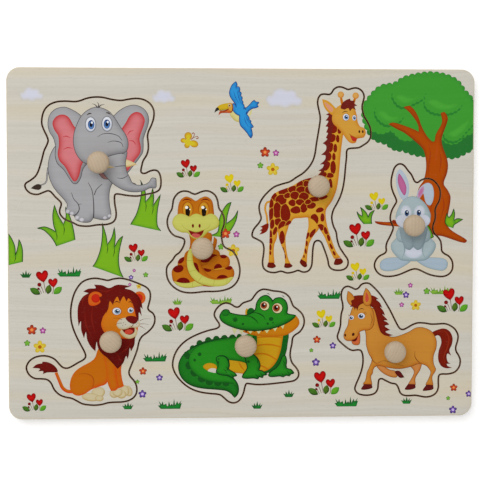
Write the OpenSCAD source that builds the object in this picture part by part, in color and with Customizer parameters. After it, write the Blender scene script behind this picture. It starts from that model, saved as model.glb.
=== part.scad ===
// Animal peg puzzle: a wooden picture board with seven animals that lift out by their knobs.
// The picture board and the animals are cut from one sheet, and the board is glued to a backing.
// Every knob is turned, stands on its animal and is held by a countersunk screw from below.
// X runs across the picture, Y up the picture and Z out of it.
// The origin is the middle of the underside.

/* [Boards] */
// Thickness of the picture board, and so of the animals cut out of it
sheet_thickness = 5; // [3:0.5:8]
// Thickness of the backing board
backing_thickness = 3; // [2:0.5:6]
// Radius of the boards' corners
corner_radius = 8.5; // [3:0.5:15]
// Width of the wood that the laser burns away along a cut
kerf = 0.8; // [0.4:0.1:1.2]
// Least wood left between two cut-outs where no other gap is given
least_gap = 4; // [3:0.5:10]

/* [Elephant] */
// Width of the elephant
elephant_width = 87.5; // [75:0.5:100]
// Height of the elephant
elephant_height = 83; // [70:0.5:95]
// Wood left of the elephant
elephant_left_margin = 10.5; // [5:0.5:20]
// Wood above the elephant
elephant_top_margin = 18.5; // [5:0.5:25]

/* [Snake] */
// Width of the snake
snake_width = 49; // [42:0.5:56]
// Height of the snake
snake_height = 66.5; // [57:0.5:74]
// Wood between the elephant's side and the snake's
elephant_snake_gap = 2; // [1.5:0.5:10]
// Wood between the crocodile's snout and the snake
crocodile_snake_gap = 6; // [4:0.5:12]

/* [Giraffe] */
// Width of the giraffe
giraffe_width = 77.5; // [66:0.5:88]
// Height of the giraffe
giraffe_height = 120.5; // [104:0.5:136]
// Wood between the snake's side and the giraffe's
snake_giraffe_gap = 6.5; // [2:0.5:12]
// Wood between the animals of the lower row and the giraffe
giraffe_lower_gap = 5.5; // [2:0.5:12]
// Wood above the giraffe
giraffe_top_margin = 11.5; // [5:0.5:20]

/* [Rabbit] */
// Width of the rabbit
rabbit_width = 52.5; // [45:0.5:60]
// Height of the rabbit
rabbit_height = 74; // [63:0.5:84]
// Wood between the giraffe's side and the rabbit's
giraffe_rabbit_gap = 2; // [1.5:0.5:10]
// Wood between the horse and the rabbit
horse_rabbit_gap = 3; // [2:0.5:12]
// Wood right of the rabbit
rabbit_right_margin = 12.5; // [5:0.5:20]

/* [Lion] */
// Width of the lion
lion_width = 83; // [71:0.5:94]
// Height of the lion
lion_height = 82.5; // [70:0.5:94]
// Wood left of the lion
lion_left_margin = 11; // [5:0.5:20]
// Wood below the lion
lion_bottom_margin = 8.5; // [5:0.5:16]

/* [Crocodile] */
// Width of the crocodile
crocodile_width = 86.5; // [74:0.5:96]
// Height of the crocodile
crocodile_height = 75.5; // [65:0.5:85]
// Wood between the lion's side and the crocodile's
lion_crocodile_gap = 10; // [2:0.5:14]
// Wood below the crocodile
crocodile_bottom_margin = 8.5; // [5:0.5:16]

/* [Horse] */
// Width of the horse
horse_width = 81.5; // [70:0.5:92]
// Height of the horse
horse_height = 75.5; // [65:0.5:85]
// Wood right of the horse
horse_right_margin = 7.5; // [5:0.5:16]
// Wood below the horse
horse_bottom_margin = 12; // [5:0.5:18]

/* [Knobs] */
// Diameter of a knob's head
knob_diameter = 14; // [11:0.5:18]
// Height of a knob above its animal
knob_height = 13; // [11:0.5:18]
// Depth of the head, from its top to the neck
head_depth = 7.5; // [5:0.5:8]
// Diameter of the neck, where fingers grip
neck_diameter = 7.6; // [6:0.2:9]
// Diameter of the foot that stands on the animal
foot_diameter = 10; // [9.2:0.2:12]
// Height of the foot's upright rim
foot_rim = 1; // [0.5:0.1:1.5]

/* [Screws] */
// Diameter of a screw's shank
screw_diameter = 3; // [2.4:0.1:3.6]
// Diameter of a screw's head
screw_head_diameter = 6; // [5:0.2:7]
// Length of the shank that bites into the knob
screw_bite = 7.5; // [5:0.5:8.5]
// Depth of the head below the animal's underside
screw_sink = 0.2; // [0:0.1:0.5]
// Play all round the screw in its hole
screw_play = 0.1; // [0.05:0.05:0.2]

/* [Hidden] */
$fn = 48;
// Straight steps that each span of a cut line is drawn in
curve_steps = 3;
// Straight steps in each arc of a knob's profile
arc_steps = 6;
// Overrun of every cut past the wood
overrun = 1;

// The animals in the order of every table below
animals = ["elephant", "snake", "giraffe", "rabbit", "lion", "crocodile", "horse"];
kinds = ["piece", "knob", "screw"];

wood_colour = [0.80, 0.77, 0.70];
backing_colour = [0.74, 0.68, 0.58];
knob_colour = [0.86, 0.78, 0.66];
screw_colour = [0.72, 0.72, 0.70];
animal_colours = [[0.65, 0.64, 0.64], [0.78, 0.48, 0.12], [0.84, 0.63, 0.20], [0.69, 0.75, 0.78],
    [0.80, 0.47, 0.08], [0.14, 0.53, 0.12], [0.76, 0.51, 0.20]];

// Where each animal's knob stands, as shares of its width and height
knob_shares = [[0.55, 0.495], [0.49, 0.445], [0.55, 0.47], [0.465, 0.46], [0.66, 0.515],
    [0.55, 0.52], [0.45, 0.415]];
// Height of the crocodile's snout, where the snake lies over it
snout_share = 0.875;
// Height in the head where a knob is widest
widest_share = 0.4;
// Height in the neck where the foot's hollow ends
hollow_share = 0.6;
// Squareness of a knob's top: 2 is an ellipse, more is flatter
top_squareness = 2.5;
// Reach, width and depth of the cross in a screw's head
cross_reach_share = 0.62;
cross_width_share = 0.14;
cross_depth_share = 0.18;

// Cut lines, clockwise, as shares of each animal's width and height.
// The elephant's starts at the tip of the tail and goes over the head, trunk and feet.
elephant_outline_shares = [
    [0.010, 0.320], [0.020, 0.340], [0.050, 0.360], [0.085, 0.390], [0.105, 0.425], [0.120, 0.470],
    [0.135, 0.525], [0.150, 0.585], [0.170, 0.630], [0.180, 0.665], [0.170, 0.700], [0.150, 0.745],
    [0.135, 0.795], [0.140, 0.855], [0.160, 0.905], [0.195, 0.940], [0.245, 0.960], [0.305, 0.965],
    [0.375, 0.962], [0.415, 0.970], [0.460, 0.987], [0.515, 0.997], [0.575, 0.995], [0.640, 0.980],
    [0.705, 0.972], [0.765, 0.982], [0.820, 0.988], [0.875, 0.978], [0.920, 0.947], [0.945, 0.900],
    [0.946, 0.845], [0.930, 0.788], [0.907, 0.735], [0.900, 0.695], [0.905, 0.650], [0.905, 0.600],
    [0.893, 0.555], [0.868, 0.512], [0.857, 0.470], [0.851, 0.435], [0.859, 0.417], [0.883, 0.415],
    [0.917, 0.432], [0.953, 0.439], [0.980, 0.424], [0.995, 0.380], [0.996, 0.325], [0.983, 0.287],
    [0.950, 0.267], [0.893, 0.254], [0.825, 0.240], [0.755, 0.244], [0.695, 0.254], [0.667, 0.254],
    [0.658, 0.234], [0.660, 0.180], [0.669, 0.120], [0.666, 0.070], [0.643, 0.037], [0.597, 0.021],
    [0.533, 0.018], [0.467, 0.008], [0.400, 0.013], [0.353, 0.036], [0.297, 0.062], [0.265, 0.097],
    [0.260, 0.132], [0.271, 0.170], [0.266, 0.195], [0.232, 0.230], [0.200, 0.268], [0.177, 0.280],
    [0.143, 0.268], [0.100, 0.252], [0.053, 0.260], [0.020, 0.289]];
// The snake's starts at the left of the coils and goes over the neck and head.
snake_outline_shares = [
    [0.023, 0.200], [0.027, 0.255], [0.054, 0.290], [0.100, 0.327], [0.140, 0.370], [0.195, 0.403],
    [0.238, 0.450], [0.260, 0.500], [0.250, 0.530], [0.204, 0.546], [0.136, 0.560], [0.086, 0.590],
    [0.050, 0.633], [0.034, 0.687], [0.041, 0.735], [0.065, 0.780], [0.095, 0.820], [0.107, 0.867],
    [0.116, 0.907], [0.140, 0.943], [0.186, 0.977], [0.244, 0.992], [0.308, 0.988], [0.362, 0.970],
    [0.398, 0.963], [0.434, 0.972], [0.489, 0.988], [0.552, 0.995], [0.615, 0.980], [0.665, 0.947],
    [0.692, 0.900], [0.701, 0.857], [0.715, 0.820], [0.747, 0.788], [0.771, 0.753], [0.780, 0.707],
    [0.772, 0.660], [0.750, 0.613], [0.742, 0.567], [0.750, 0.518], [0.765, 0.473], [0.798, 0.445],
    [0.850, 0.428], [0.896, 0.407], [0.934, 0.367], [0.964, 0.313], [0.982, 0.253], [0.982, 0.193],
    [0.959, 0.133], [0.910, 0.083], [0.842, 0.050], [0.751, 0.030], [0.652, 0.022], [0.560, 0.022],
    [0.489, 0.019], [0.407, 0.012], [0.317, 0.010], [0.226, 0.021], [0.145, 0.050], [0.083, 0.090],
    [0.041, 0.140]];
// The giraffe's starts at the tail and goes along the back, over the head and round the feet.
giraffe_outline_shares = [
    [0.008, 0.215], [0.024, 0.243], [0.062, 0.273], [0.083, 0.300], [0.071, 0.332], [0.067, 0.367],
    [0.090, 0.402], [0.135, 0.437], [0.192, 0.467], [0.259, 0.483], [0.322, 0.495], [0.373, 0.517],
    [0.430, 0.540], [0.477, 0.570], [0.513, 0.607], [0.531, 0.647], [0.541, 0.693], [0.553, 0.740],
    [0.565, 0.787], [0.573, 0.833], [0.562, 0.875], [0.551, 0.910], [0.556, 0.938], [0.577, 0.957],
    [0.608, 0.961], [0.646, 0.959], [0.666, 0.967], [0.685, 0.986], [0.715, 0.998], [0.745, 0.999],
    [0.775, 0.993], [0.805, 0.986], [0.840, 0.992], [0.874, 0.994], [0.905, 0.986], [0.928, 0.970],
    [0.938, 0.948], [0.930, 0.922], [0.922, 0.900], [0.926, 0.872], [0.940, 0.843], [0.968, 0.813],
    [0.990, 0.782], [0.996, 0.752], [0.990, 0.727], [0.968, 0.706], [0.930, 0.689], [0.895, 0.677],
    [0.850, 0.674], [0.812, 0.671], [0.795, 0.658], [0.793, 0.625], [0.785, 0.573], [0.778, 0.520],
    [0.766, 0.467], [0.745, 0.420], [0.716, 0.380], [0.685, 0.343], [0.672, 0.303], [0.685, 0.260],
    [0.709, 0.225], [0.718, 0.187], [0.737, 0.147], [0.773, 0.110], [0.807, 0.077], [0.807, 0.047],
    [0.778, 0.026], [0.726, 0.020], [0.678, 0.026], [0.650, 0.045], [0.640, 0.077], [0.622, 0.113],
    [0.602, 0.147], [0.583, 0.172], [0.556, 0.180], [0.529, 0.171], [0.516, 0.140], [0.511, 0.093],
    [0.505, 0.047], [0.480, 0.019], [0.436, 0.011], [0.392, 0.020], [0.353, 0.012], [0.301, 0.007],
    [0.249, 0.016], [0.197, 0.009], [0.143, 0.014], [0.104, 0.034], [0.095, 0.067], [0.103, 0.107],
    [0.106, 0.143], [0.092, 0.170], [0.052, 0.187], [0.016, 0.199]];
// The rabbit's starts at the left foot and goes over both ears to the right foot.
rabbit_outline_shares = [
    [0.010, 0.100], [0.024, 0.150], [0.070, 0.190], [0.130, 0.212], [0.155, 0.235], [0.152, 0.273],
    [0.165, 0.313], [0.197, 0.357], [0.226, 0.403], [0.240, 0.440], [0.221, 0.473], [0.203, 0.510],
    [0.207, 0.555], [0.228, 0.600], [0.258, 0.638], [0.278, 0.667], [0.266, 0.700], [0.237, 0.745],
    [0.216, 0.793], [0.211, 0.847], [0.224, 0.902], [0.247, 0.955], [0.284, 0.987], [0.330, 0.995],
    [0.376, 0.977], [0.416, 0.940], [0.460, 0.903], [0.485, 0.867], [0.508, 0.840], [0.540, 0.834],
    [0.573, 0.850], [0.620, 0.865], [0.680, 0.867], [0.738, 0.850], [0.788, 0.813], [0.817, 0.770],
    [0.822, 0.720], [0.806, 0.667], [0.775, 0.627], [0.759, 0.590], [0.763, 0.547], [0.757, 0.505],
    [0.738, 0.467], [0.733, 0.427], [0.749, 0.390], [0.794, 0.357], [0.830, 0.320], [0.841, 0.273],
    [0.847, 0.235], [0.880, 0.210], [0.935, 0.187], [0.973, 0.150], [0.985, 0.103], [0.972, 0.060],
    [0.930, 0.027], [0.865, 0.010], [0.780, 0.013], [0.695, 0.027], [0.620, 0.050], [0.560, 0.070],
    [0.508, 0.077], [0.451, 0.067], [0.385, 0.047], [0.301, 0.024], [0.207, 0.012], [0.115, 0.017],
    [0.046, 0.048]];
// The lion's starts at the tuft of the tail and goes up the back, round the mane and over the paws.
lion_outline_shares = [
    [0.005, 0.309], [0.027, 0.353], [0.070, 0.383], [0.127, 0.395], [0.180, 0.388], [0.223, 0.366],
    [0.256, 0.330], [0.283, 0.304], [0.317, 0.297], [0.353, 0.311], [0.400, 0.339], [0.443, 0.363],
    [0.460, 0.390], [0.448, 0.430], [0.420, 0.484], [0.390, 0.544], [0.364, 0.611], [0.350, 0.671],
    [0.347, 0.738], [0.355, 0.806], [0.373, 0.873], [0.403, 0.930], [0.440, 0.970], [0.487, 0.991],
    [0.540, 0.997], [0.593, 0.989], [0.633, 0.981], [0.673, 0.991], [0.727, 0.997], [0.780, 0.988],
    [0.833, 0.970], [0.887, 0.948], [0.933, 0.923], [0.957, 0.889], [0.960, 0.846], [0.950, 0.799],
    [0.941, 0.764], [0.952, 0.743], [0.977, 0.725], [0.993, 0.695], [0.992, 0.651], [0.973, 0.611],
    [0.937, 0.574], [0.897, 0.544], [0.873, 0.504], [0.857, 0.437], [0.833, 0.370], [0.807, 0.306],
    [0.793, 0.262], [0.803, 0.229], [0.831, 0.195], [0.850, 0.155], [0.852, 0.108], [0.833, 0.068],
    [0.793, 0.041], [0.740, 0.029], [0.680, 0.027], [0.630, 0.023], [0.585, 0.011], [0.533, 0.005],
    [0.480, 0.008], [0.433, 0.017], [0.393, 0.038], [0.351, 0.060], [0.300, 0.071], [0.255, 0.091],
    [0.217, 0.130], [0.193, 0.180], [0.163, 0.208], [0.117, 0.215], [0.070, 0.218], [0.034, 0.239],
    [0.012, 0.270]];
// The crocodile's starts at the back and goes over the snout and eyes, the feet and the tail.
crocodile_outline_shares = [
    [0.010, 0.351], [0.021, 0.419], [0.050, 0.485], [0.097, 0.542], [0.153, 0.584], [0.220, 0.618],
    [0.287, 0.643], [0.333, 0.655], [0.357, 0.673], [0.356, 0.700], [0.337, 0.733], [0.321, 0.771],
    [0.331, 0.813], [0.363, 0.855], [0.405, 0.875], [0.445, 0.864], [0.477, 0.842], [0.503, 0.842],
    [0.533, 0.872], [0.567, 0.887], [0.597, 0.900], [0.620, 0.935], [0.647, 0.971], [0.682, 0.990],
    [0.720, 0.987], [0.760, 0.977], [0.807, 0.971], [0.848, 0.956], [0.880, 0.924], [0.897, 0.882],
    [0.912, 0.845], [0.943, 0.817], [0.977, 0.778], [0.993, 0.725], [0.987, 0.672], [0.960, 0.624],
    [0.925, 0.597], [0.907, 0.570], [0.901, 0.519], [0.891, 0.465], [0.889, 0.412], [0.903, 0.358],
    [0.933, 0.316], [0.952, 0.274], [0.947, 0.232], [0.917, 0.203], [0.860, 0.191], [0.787, 0.182],
    [0.713, 0.174], [0.640, 0.172], [0.587, 0.179], [0.562, 0.180], [0.550, 0.155], [0.540, 0.106],
    [0.523, 0.060], [0.497, 0.027], [0.463, 0.015], [0.427, 0.027], [0.397, 0.056], [0.370, 0.082],
    [0.340, 0.092], [0.287, 0.098], [0.220, 0.110], [0.153, 0.137], [0.095, 0.182], [0.048, 0.240],
    [0.020, 0.297]];
// The horse's starts at the nose and goes up the face, down the mane, round the tail and hooves.
horse_outline_shares = [
    [0.007, 0.540], [0.019, 0.582], [0.031, 0.633], [0.033, 0.683], [0.038, 0.734], [0.049, 0.777],
    [0.047, 0.820], [0.038, 0.863], [0.038, 0.914], [0.055, 0.952], [0.087, 0.967], [0.120, 0.956],
    [0.150, 0.942], [0.174, 0.953], [0.195, 0.980], [0.225, 0.994], [0.260, 0.990], [0.290, 0.964],
    [0.327, 0.924], [0.363, 0.875], [0.397, 0.816], [0.433, 0.748], [0.463, 0.683], [0.487, 0.633],
    [0.508, 0.601], [0.534, 0.593], [0.567, 0.608], [0.607, 0.633], [0.653, 0.649], [0.707, 0.647],
    [0.760, 0.638], [0.813, 0.639], [0.867, 0.641], [0.913, 0.624], [0.953, 0.590], [0.976, 0.540],
    [0.972, 0.489], [0.959, 0.440], [0.962, 0.402], [0.983, 0.363], [0.996, 0.320], [0.987, 0.266],
    [0.953, 0.222], [0.900, 0.205], [0.847, 0.204], [0.824, 0.190], [0.820, 0.143], [0.820, 0.086],
    [0.803, 0.042], [0.767, 0.015], [0.720, 0.006], [0.673, 0.014], [0.635, 0.021], [0.587, 0.019],
    [0.542, 0.023], [0.513, 0.046], [0.497, 0.090], [0.477, 0.120], [0.440, 0.129], [0.400, 0.149],
    [0.367, 0.167], [0.343, 0.160], [0.336, 0.122], [0.332, 0.082], [0.313, 0.046], [0.273, 0.028],
    [0.220, 0.027], [0.173, 0.042], [0.149, 0.078], [0.158, 0.122], [0.178, 0.172], [0.200, 0.237],
    [0.212, 0.303], [0.211, 0.366], [0.197, 0.410], [0.170, 0.419], [0.127, 0.415], [0.087, 0.436],
    [0.042, 0.476], [0.014, 0.508]];
outline_shares = [elephant_outline_shares, snake_outline_shares, giraffe_outline_shares,
    rabbit_outline_shares, lion_outline_shares, crocodile_outline_shares, horse_outline_shares];

// The board is as wide and as deep as its rows of animals, gaps and margins need.
upper_row_width = elephant_left_margin + elephant_width + elephant_snake_gap + snake_width
    + snake_giraffe_gap + giraffe_width + giraffe_rabbit_gap + rabbit_width + rabbit_right_margin;
lower_row_width = lion_left_margin + lion_width + lion_crocodile_gap + crocodile_width
    + least_gap + horse_width + horse_right_margin;
board_width = max(upper_row_width, lower_row_width);
lower_row_top = max(crocodile_bottom_margin + crocodile_height, horse_bottom_margin + horse_height);
left_column_depth = lion_bottom_margin + lion_height + least_gap + elephant_height
    + elephant_top_margin;
middle_column_depth = lower_row_top + giraffe_lower_gap + giraffe_height + giraffe_top_margin;
board_depth = max(left_column_depth, middle_column_depth);
board_left = -board_width / 2;
board_bottom = -board_depth / 2;
sheet_top = backing_thickness + sheet_thickness;

// Lower left corner of the box round each animal
elephant_corner = [board_left + elephant_left_margin,
    board_bottom + board_depth - elephant_top_margin - elephant_height];
snake_corner = [elephant_corner.x + elephant_width + elephant_snake_gap,
    board_bottom + crocodile_bottom_margin + crocodile_height * snout_share + crocodile_snake_gap];
giraffe_corner = [snake_corner.x + snake_width + snake_giraffe_gap,
    board_bottom + lower_row_top + giraffe_lower_gap];
rabbit_corner = [giraffe_corner.x + giraffe_width + giraffe_rabbit_gap,
    board_bottom + horse_bottom_margin + horse_height + horse_rabbit_gap];
lion_corner = [board_left + lion_left_margin, board_bottom + lion_bottom_margin];
crocodile_corner = [lion_corner.x + lion_width + lion_crocodile_gap,
    board_bottom + crocodile_bottom_margin];
horse_corner = [board_left + board_width - horse_right_margin - horse_width,
    board_bottom + horse_bottom_margin];
corners = [elephant_corner, snake_corner, giraffe_corner, rabbit_corner, lion_corner,
    crocodile_corner, horse_corner];
sizes = [[elephant_width, elephant_height], [snake_width, snake_height],
    [giraffe_width, giraffe_height], [rabbit_width, rabbit_height], [lion_width, lion_height],
    [crocodile_width, crocodile_height], [horse_width, horse_height]];

head_radius = knob_diameter / 2;
neck_radius = neck_diameter / 2;
foot_radius = foot_diameter / 2;
neck_top = knob_height - head_depth;
widest_height = neck_top + head_depth * widest_share;
hollow_top = foot_rim + (neck_top - foot_rim) * hollow_share;

screw_radius = screw_diameter / 2;
screw_head_radius = screw_head_diameter / 2;
screw_taper = screw_head_radius - screw_radius;
screw_point = sheet_thickness + screw_bite;

// The point a share of the way across and up an animal's box
function in_box(share, i) = [corners[i].x + share.x * sizes[i].x, corners[i].y + share.y * sizes[i].y];

// A point between b and c on the smooth curve through a, b, c and d
function between(a, b, c, d, t) =
    b + t * (c - a) / 2 + t * t * (2 * a - 5 * b + 4 * c - d) / 2 + t * t * t * (3 * b - a - 3 * c + d) / 2;

// The smooth closed curve through a list of points
function closed_curve(points) = let (n = len(points)) [
    for (k = [0 : n - 1], s = [0 : curve_steps - 1])
        between(points[(k + n - 1) % n], points[k], points[(k + 1) % n], points[(k + 2) % n],
            s / curve_steps)];

// A clockwise outline with every point moved outwards, square to the outline there
function moved_out(points, distance) = let (n = len(points)) [
    for (k = [0 : n - 1])
        let (along = points[(k + 1) % n] - points[(k + n - 1) % n])
            points[k] + distance * [-along.y, along.x] / norm(along)];

// The line that the laser's middle follows round an animal
function cut_line(i) = closed_curve([for (share = outline_shares[i]) in_box(share, i)]);

// An arc of an ellipse, in equal steps of angle
function arc(centre, radii, first, last, squareness = 2) = [
    for (k = [0 : arc_steps])
        let (angle = first + (last - first) * k / arc_steps, power = 2 / squareness)
            [centre.x + radii.x * sign(cos(angle)) * pow(abs(cos(angle)), power),
                centre.y + radii.y * sign(sin(angle)) * pow(abs(sin(angle)), power)]];

// Half of a knob's section: foot, hollow, neck, round underside and flattened top
knob_profile = concat([[0, 0], [foot_radius, 0]],
    arc([foot_radius, hollow_top], [foot_radius - neck_radius, hollow_top - foot_rim], 270, 180),
    arc([neck_radius, widest_height], [head_radius - neck_radius, widest_height - neck_top], 270, 360),
    arc([0, widest_height], [head_radius, knob_height - widest_height], 0, 90, top_squareness));

// A board's outline, with true arcs at its corners
module board_outline() {
    square([board_width - 2 * corner_radius, board_depth], center = true);
    square([board_width, board_depth - 2 * corner_radius], center = true);
    for (x = [-1, 1], y = [-1, 1])
        translate([x * (board_width / 2 - corner_radius), y * (board_depth / 2 - corner_radius)])
            circle(corner_radius);
}

module backing_board() {
    color(backing_colour) linear_extrude(backing_thickness) board_outline();
}

// The sheet, with a cut-out half a kerf outside every cut line
module picture_board() {
    color(wood_colour) translate([0, 0, backing_thickness]) difference() {
        linear_extrude(sheet_thickness) board_outline();
        for (i = [0 : len(animals) - 1])
            translate([0, 0, -overrun]) linear_extrude(sheet_thickness + 2 * overrun)
                polygon(moved_out(cut_line(i), kerf / 2));
    }
}

// Puts its children on the axis of an animal's knob, at a height
module at_knob(i, height) {
    translate(concat(in_box(knob_shares[i], i), height)) children();
}

// An animal, half a kerf inside its cut line, with the screw's countersunk hole
module piece(i) {
    color(animal_colours[i]) difference() {
        translate([0, 0, backing_thickness]) linear_extrude(sheet_thickness)
            polygon(moved_out(cut_line(i), -kerf / 2));
        at_knob(i, backing_thickness - overrun)
            cylinder(h = sheet_thickness + 2 * overrun, r = screw_radius + screw_play);
        at_knob(i, backing_thickness - overrun)
            cylinder(h = overrun + screw_sink + screw_taper,
                r1 = screw_head_radius + screw_play + screw_sink + overrun,
                r2 = screw_radius + screw_play);
    }
}

// A turned knob with the blind hole that its screw bites into
module knob(i) {
    color(knob_colour) at_knob(i, sheet_top) difference() {
        rotate_extrude() polygon(knob_profile);
        translate([0, 0, -overrun])
            cylinder(h = overrun + screw_bite + screw_radius, r = screw_radius + screw_play);
    }
}

// A countersunk wood screw with a cross in its head and a pointed end
module screw(i) {
    color(screw_colour) at_knob(i, backing_thickness) difference() {
        rotate_extrude() polygon([[0, screw_sink], [screw_head_radius, screw_sink],
            [screw_radius, screw_sink + screw_taper], [screw_radius, screw_point - screw_diameter],
            [0, screw_point]]);
        for (turn = [0, 90]) rotate(turn)
            translate([0, 0, screw_sink])
                cube([screw_head_diameter * cross_reach_share, screw_head_diameter * cross_width_share,
                    2 * screw_head_diameter * cross_depth_share], center = true);
    }
}

picture_board();
backing_board();
for (i = [0 : len(animals) - 1]) {
    piece(i);
    knob(i);
    screw(i);
}
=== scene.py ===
import math
import random

import bpy
import numpy as np
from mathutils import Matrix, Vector
from mathutils.geometry import delaunay_2d_cdt


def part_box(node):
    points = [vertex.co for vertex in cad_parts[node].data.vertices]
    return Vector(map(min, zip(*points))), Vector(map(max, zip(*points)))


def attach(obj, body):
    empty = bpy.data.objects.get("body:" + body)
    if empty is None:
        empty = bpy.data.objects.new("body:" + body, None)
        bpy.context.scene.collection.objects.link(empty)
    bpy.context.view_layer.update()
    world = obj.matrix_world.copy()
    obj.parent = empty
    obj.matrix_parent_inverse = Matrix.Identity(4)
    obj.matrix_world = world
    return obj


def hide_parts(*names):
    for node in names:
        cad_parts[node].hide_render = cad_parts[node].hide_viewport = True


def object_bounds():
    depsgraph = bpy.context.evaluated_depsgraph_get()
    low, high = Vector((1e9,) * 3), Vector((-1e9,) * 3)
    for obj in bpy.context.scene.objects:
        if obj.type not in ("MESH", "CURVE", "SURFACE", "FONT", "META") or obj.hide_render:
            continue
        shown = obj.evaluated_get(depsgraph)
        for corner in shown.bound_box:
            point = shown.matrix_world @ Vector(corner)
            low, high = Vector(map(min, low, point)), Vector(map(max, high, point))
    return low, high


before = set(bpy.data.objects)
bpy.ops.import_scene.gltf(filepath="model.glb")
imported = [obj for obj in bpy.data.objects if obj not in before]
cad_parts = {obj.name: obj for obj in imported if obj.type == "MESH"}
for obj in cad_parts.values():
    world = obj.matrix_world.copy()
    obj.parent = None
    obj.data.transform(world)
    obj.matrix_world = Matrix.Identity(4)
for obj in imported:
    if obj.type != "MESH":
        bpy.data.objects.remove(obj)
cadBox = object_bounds()
boardLow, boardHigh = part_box("picture_board")
boardWidth = 300  # millimetres
unit = (boardHigh.x - boardLow.x) / boardWidth  # a board millimetre, in metres
animals = ["elephant", "snake", "giraffe", "rabbit", "lion", "crocodile", "horse"]


def placed(name, data):
    made = bpy.data.objects.new(name, data)
    bpy.context.scene.collection.objects.link(made)
    return made


def fitted(name, mesh, body, nodeName, place=(0, 0, 0), turn=0):
    # a finished piece on its body, in place of its CAD node
    made = placed(name, mesh)
    made.location = place
    made.rotation_euler.z = turn
    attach(made, body)
    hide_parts(nodeName)


def meshOf(name, vertices, faces, sharpest):
    # a smooth mesh from board millimetres, sharp where its faces turn by more than so many degrees
    mesh = bpy.data.meshes.new(name)
    mesh.from_pydata([(x * unit, y * unit, z * unit) for x, y, z in vertices], [], faces)
    mesh.polygons.foreach_set("use_smooth", [True] * len(faces))
    mesh.set_sharp_from_angle(angle=math.radians(sharpest))
    return mesh


# Camera, light and floor

stageValues = {
    "cameraPlace": (-33.2, 32.2, 700),  # board millimetres
    "cameraTilt": (-2.44, -2.61, -0.10),  # degrees
    "lens": 80.85,
    "sensorWidth": 36,
    "skyLevel": 0.62,
    "lampPower": 12.5,
    "lampPlace": (-0.55, 0.75, 1.45),  # metres, as are the next lengths
    "lampSize": 1.1,
    "floorRadius": 4,
    "floorSides": 48,
    "floorDrop": 0.00005,
    "floorColour": (252, 252, 252),
    "floorSpeckle": 0.992,
    "floorGlow": 0.2,
    "farGlow": 0.5,
    "glowFrom": 0.5,
    "glowTo": 2.5,
}


def tint(colour):
    # screen values from 0 to 255 as a linear colour
    share = [c / 255 for c in colour]
    return [c / 12.92 if c <= 0.04045 else ((c + 0.055) / 1.055) ** 2.4 for c in share] + [1.0]


def put(tree, kind, inputs=(), **settings):
    # a shader node with its settings, and its sockets set or linked
    made = tree.nodes.new("ShaderNode" + kind)
    for key, value in settings.items():
        setattr(made, key, value)
    for key, value in dict(inputs).items():
        if isinstance(value, bpy.types.NodeSocket):
            tree.links.new(value, made.inputs[key])
        else:
            made.inputs[key].default_value = value
    return made


def fed(kind, inputs, **settings):
    # the outputs of a node that others feed, in the same tree as they are
    tree = next(value.id_data for value in inputs.values() if isinstance(value, bpy.types.NodeSocket))
    return put(tree, kind, inputs, **settings).outputs


def maths(operation, *values):
    return fed("Math", dict(enumerate(values)), operation=operation)[0]


def blended(factor, first, second):
    # the first colour running into the second as the factor rises
    return fed("Mix", {0: factor, 6: first, 7: second}, data_type="RGBA")[2]


def ranged(value, low, high, toLow=0.0, toHigh=1.0):
    # a value's range from low to high stretched over another range, and clamped to it
    return fed("MapRange", {"Value": value, "From Min": low, "From Max": high, "To Min": toLow,
                            "To Max": toHigh})[0]


def noise(place, stretch, detail, roughness=0.5):
    # noise whose cells are one over the stretch long each way, in metres
    spread = fed("VectorMath", {0: place, 1: stretch}, operation="MULTIPLY")[0]
    return fed("TexNoise", {"Vector": spread, "Scale": 1.0, "Detail": detail, "Roughness": roughness})[0]


def newFinish(name):
    # a material with its main shader and the piece's own place in metres
    finish = bpy.data.materials.new(name)
    finish.use_nodes = True
    tree = finish.node_tree
    return finish, tree.nodes["Principled BSDF"], put(tree, "TexCoord").outputs["Object"]


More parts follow.
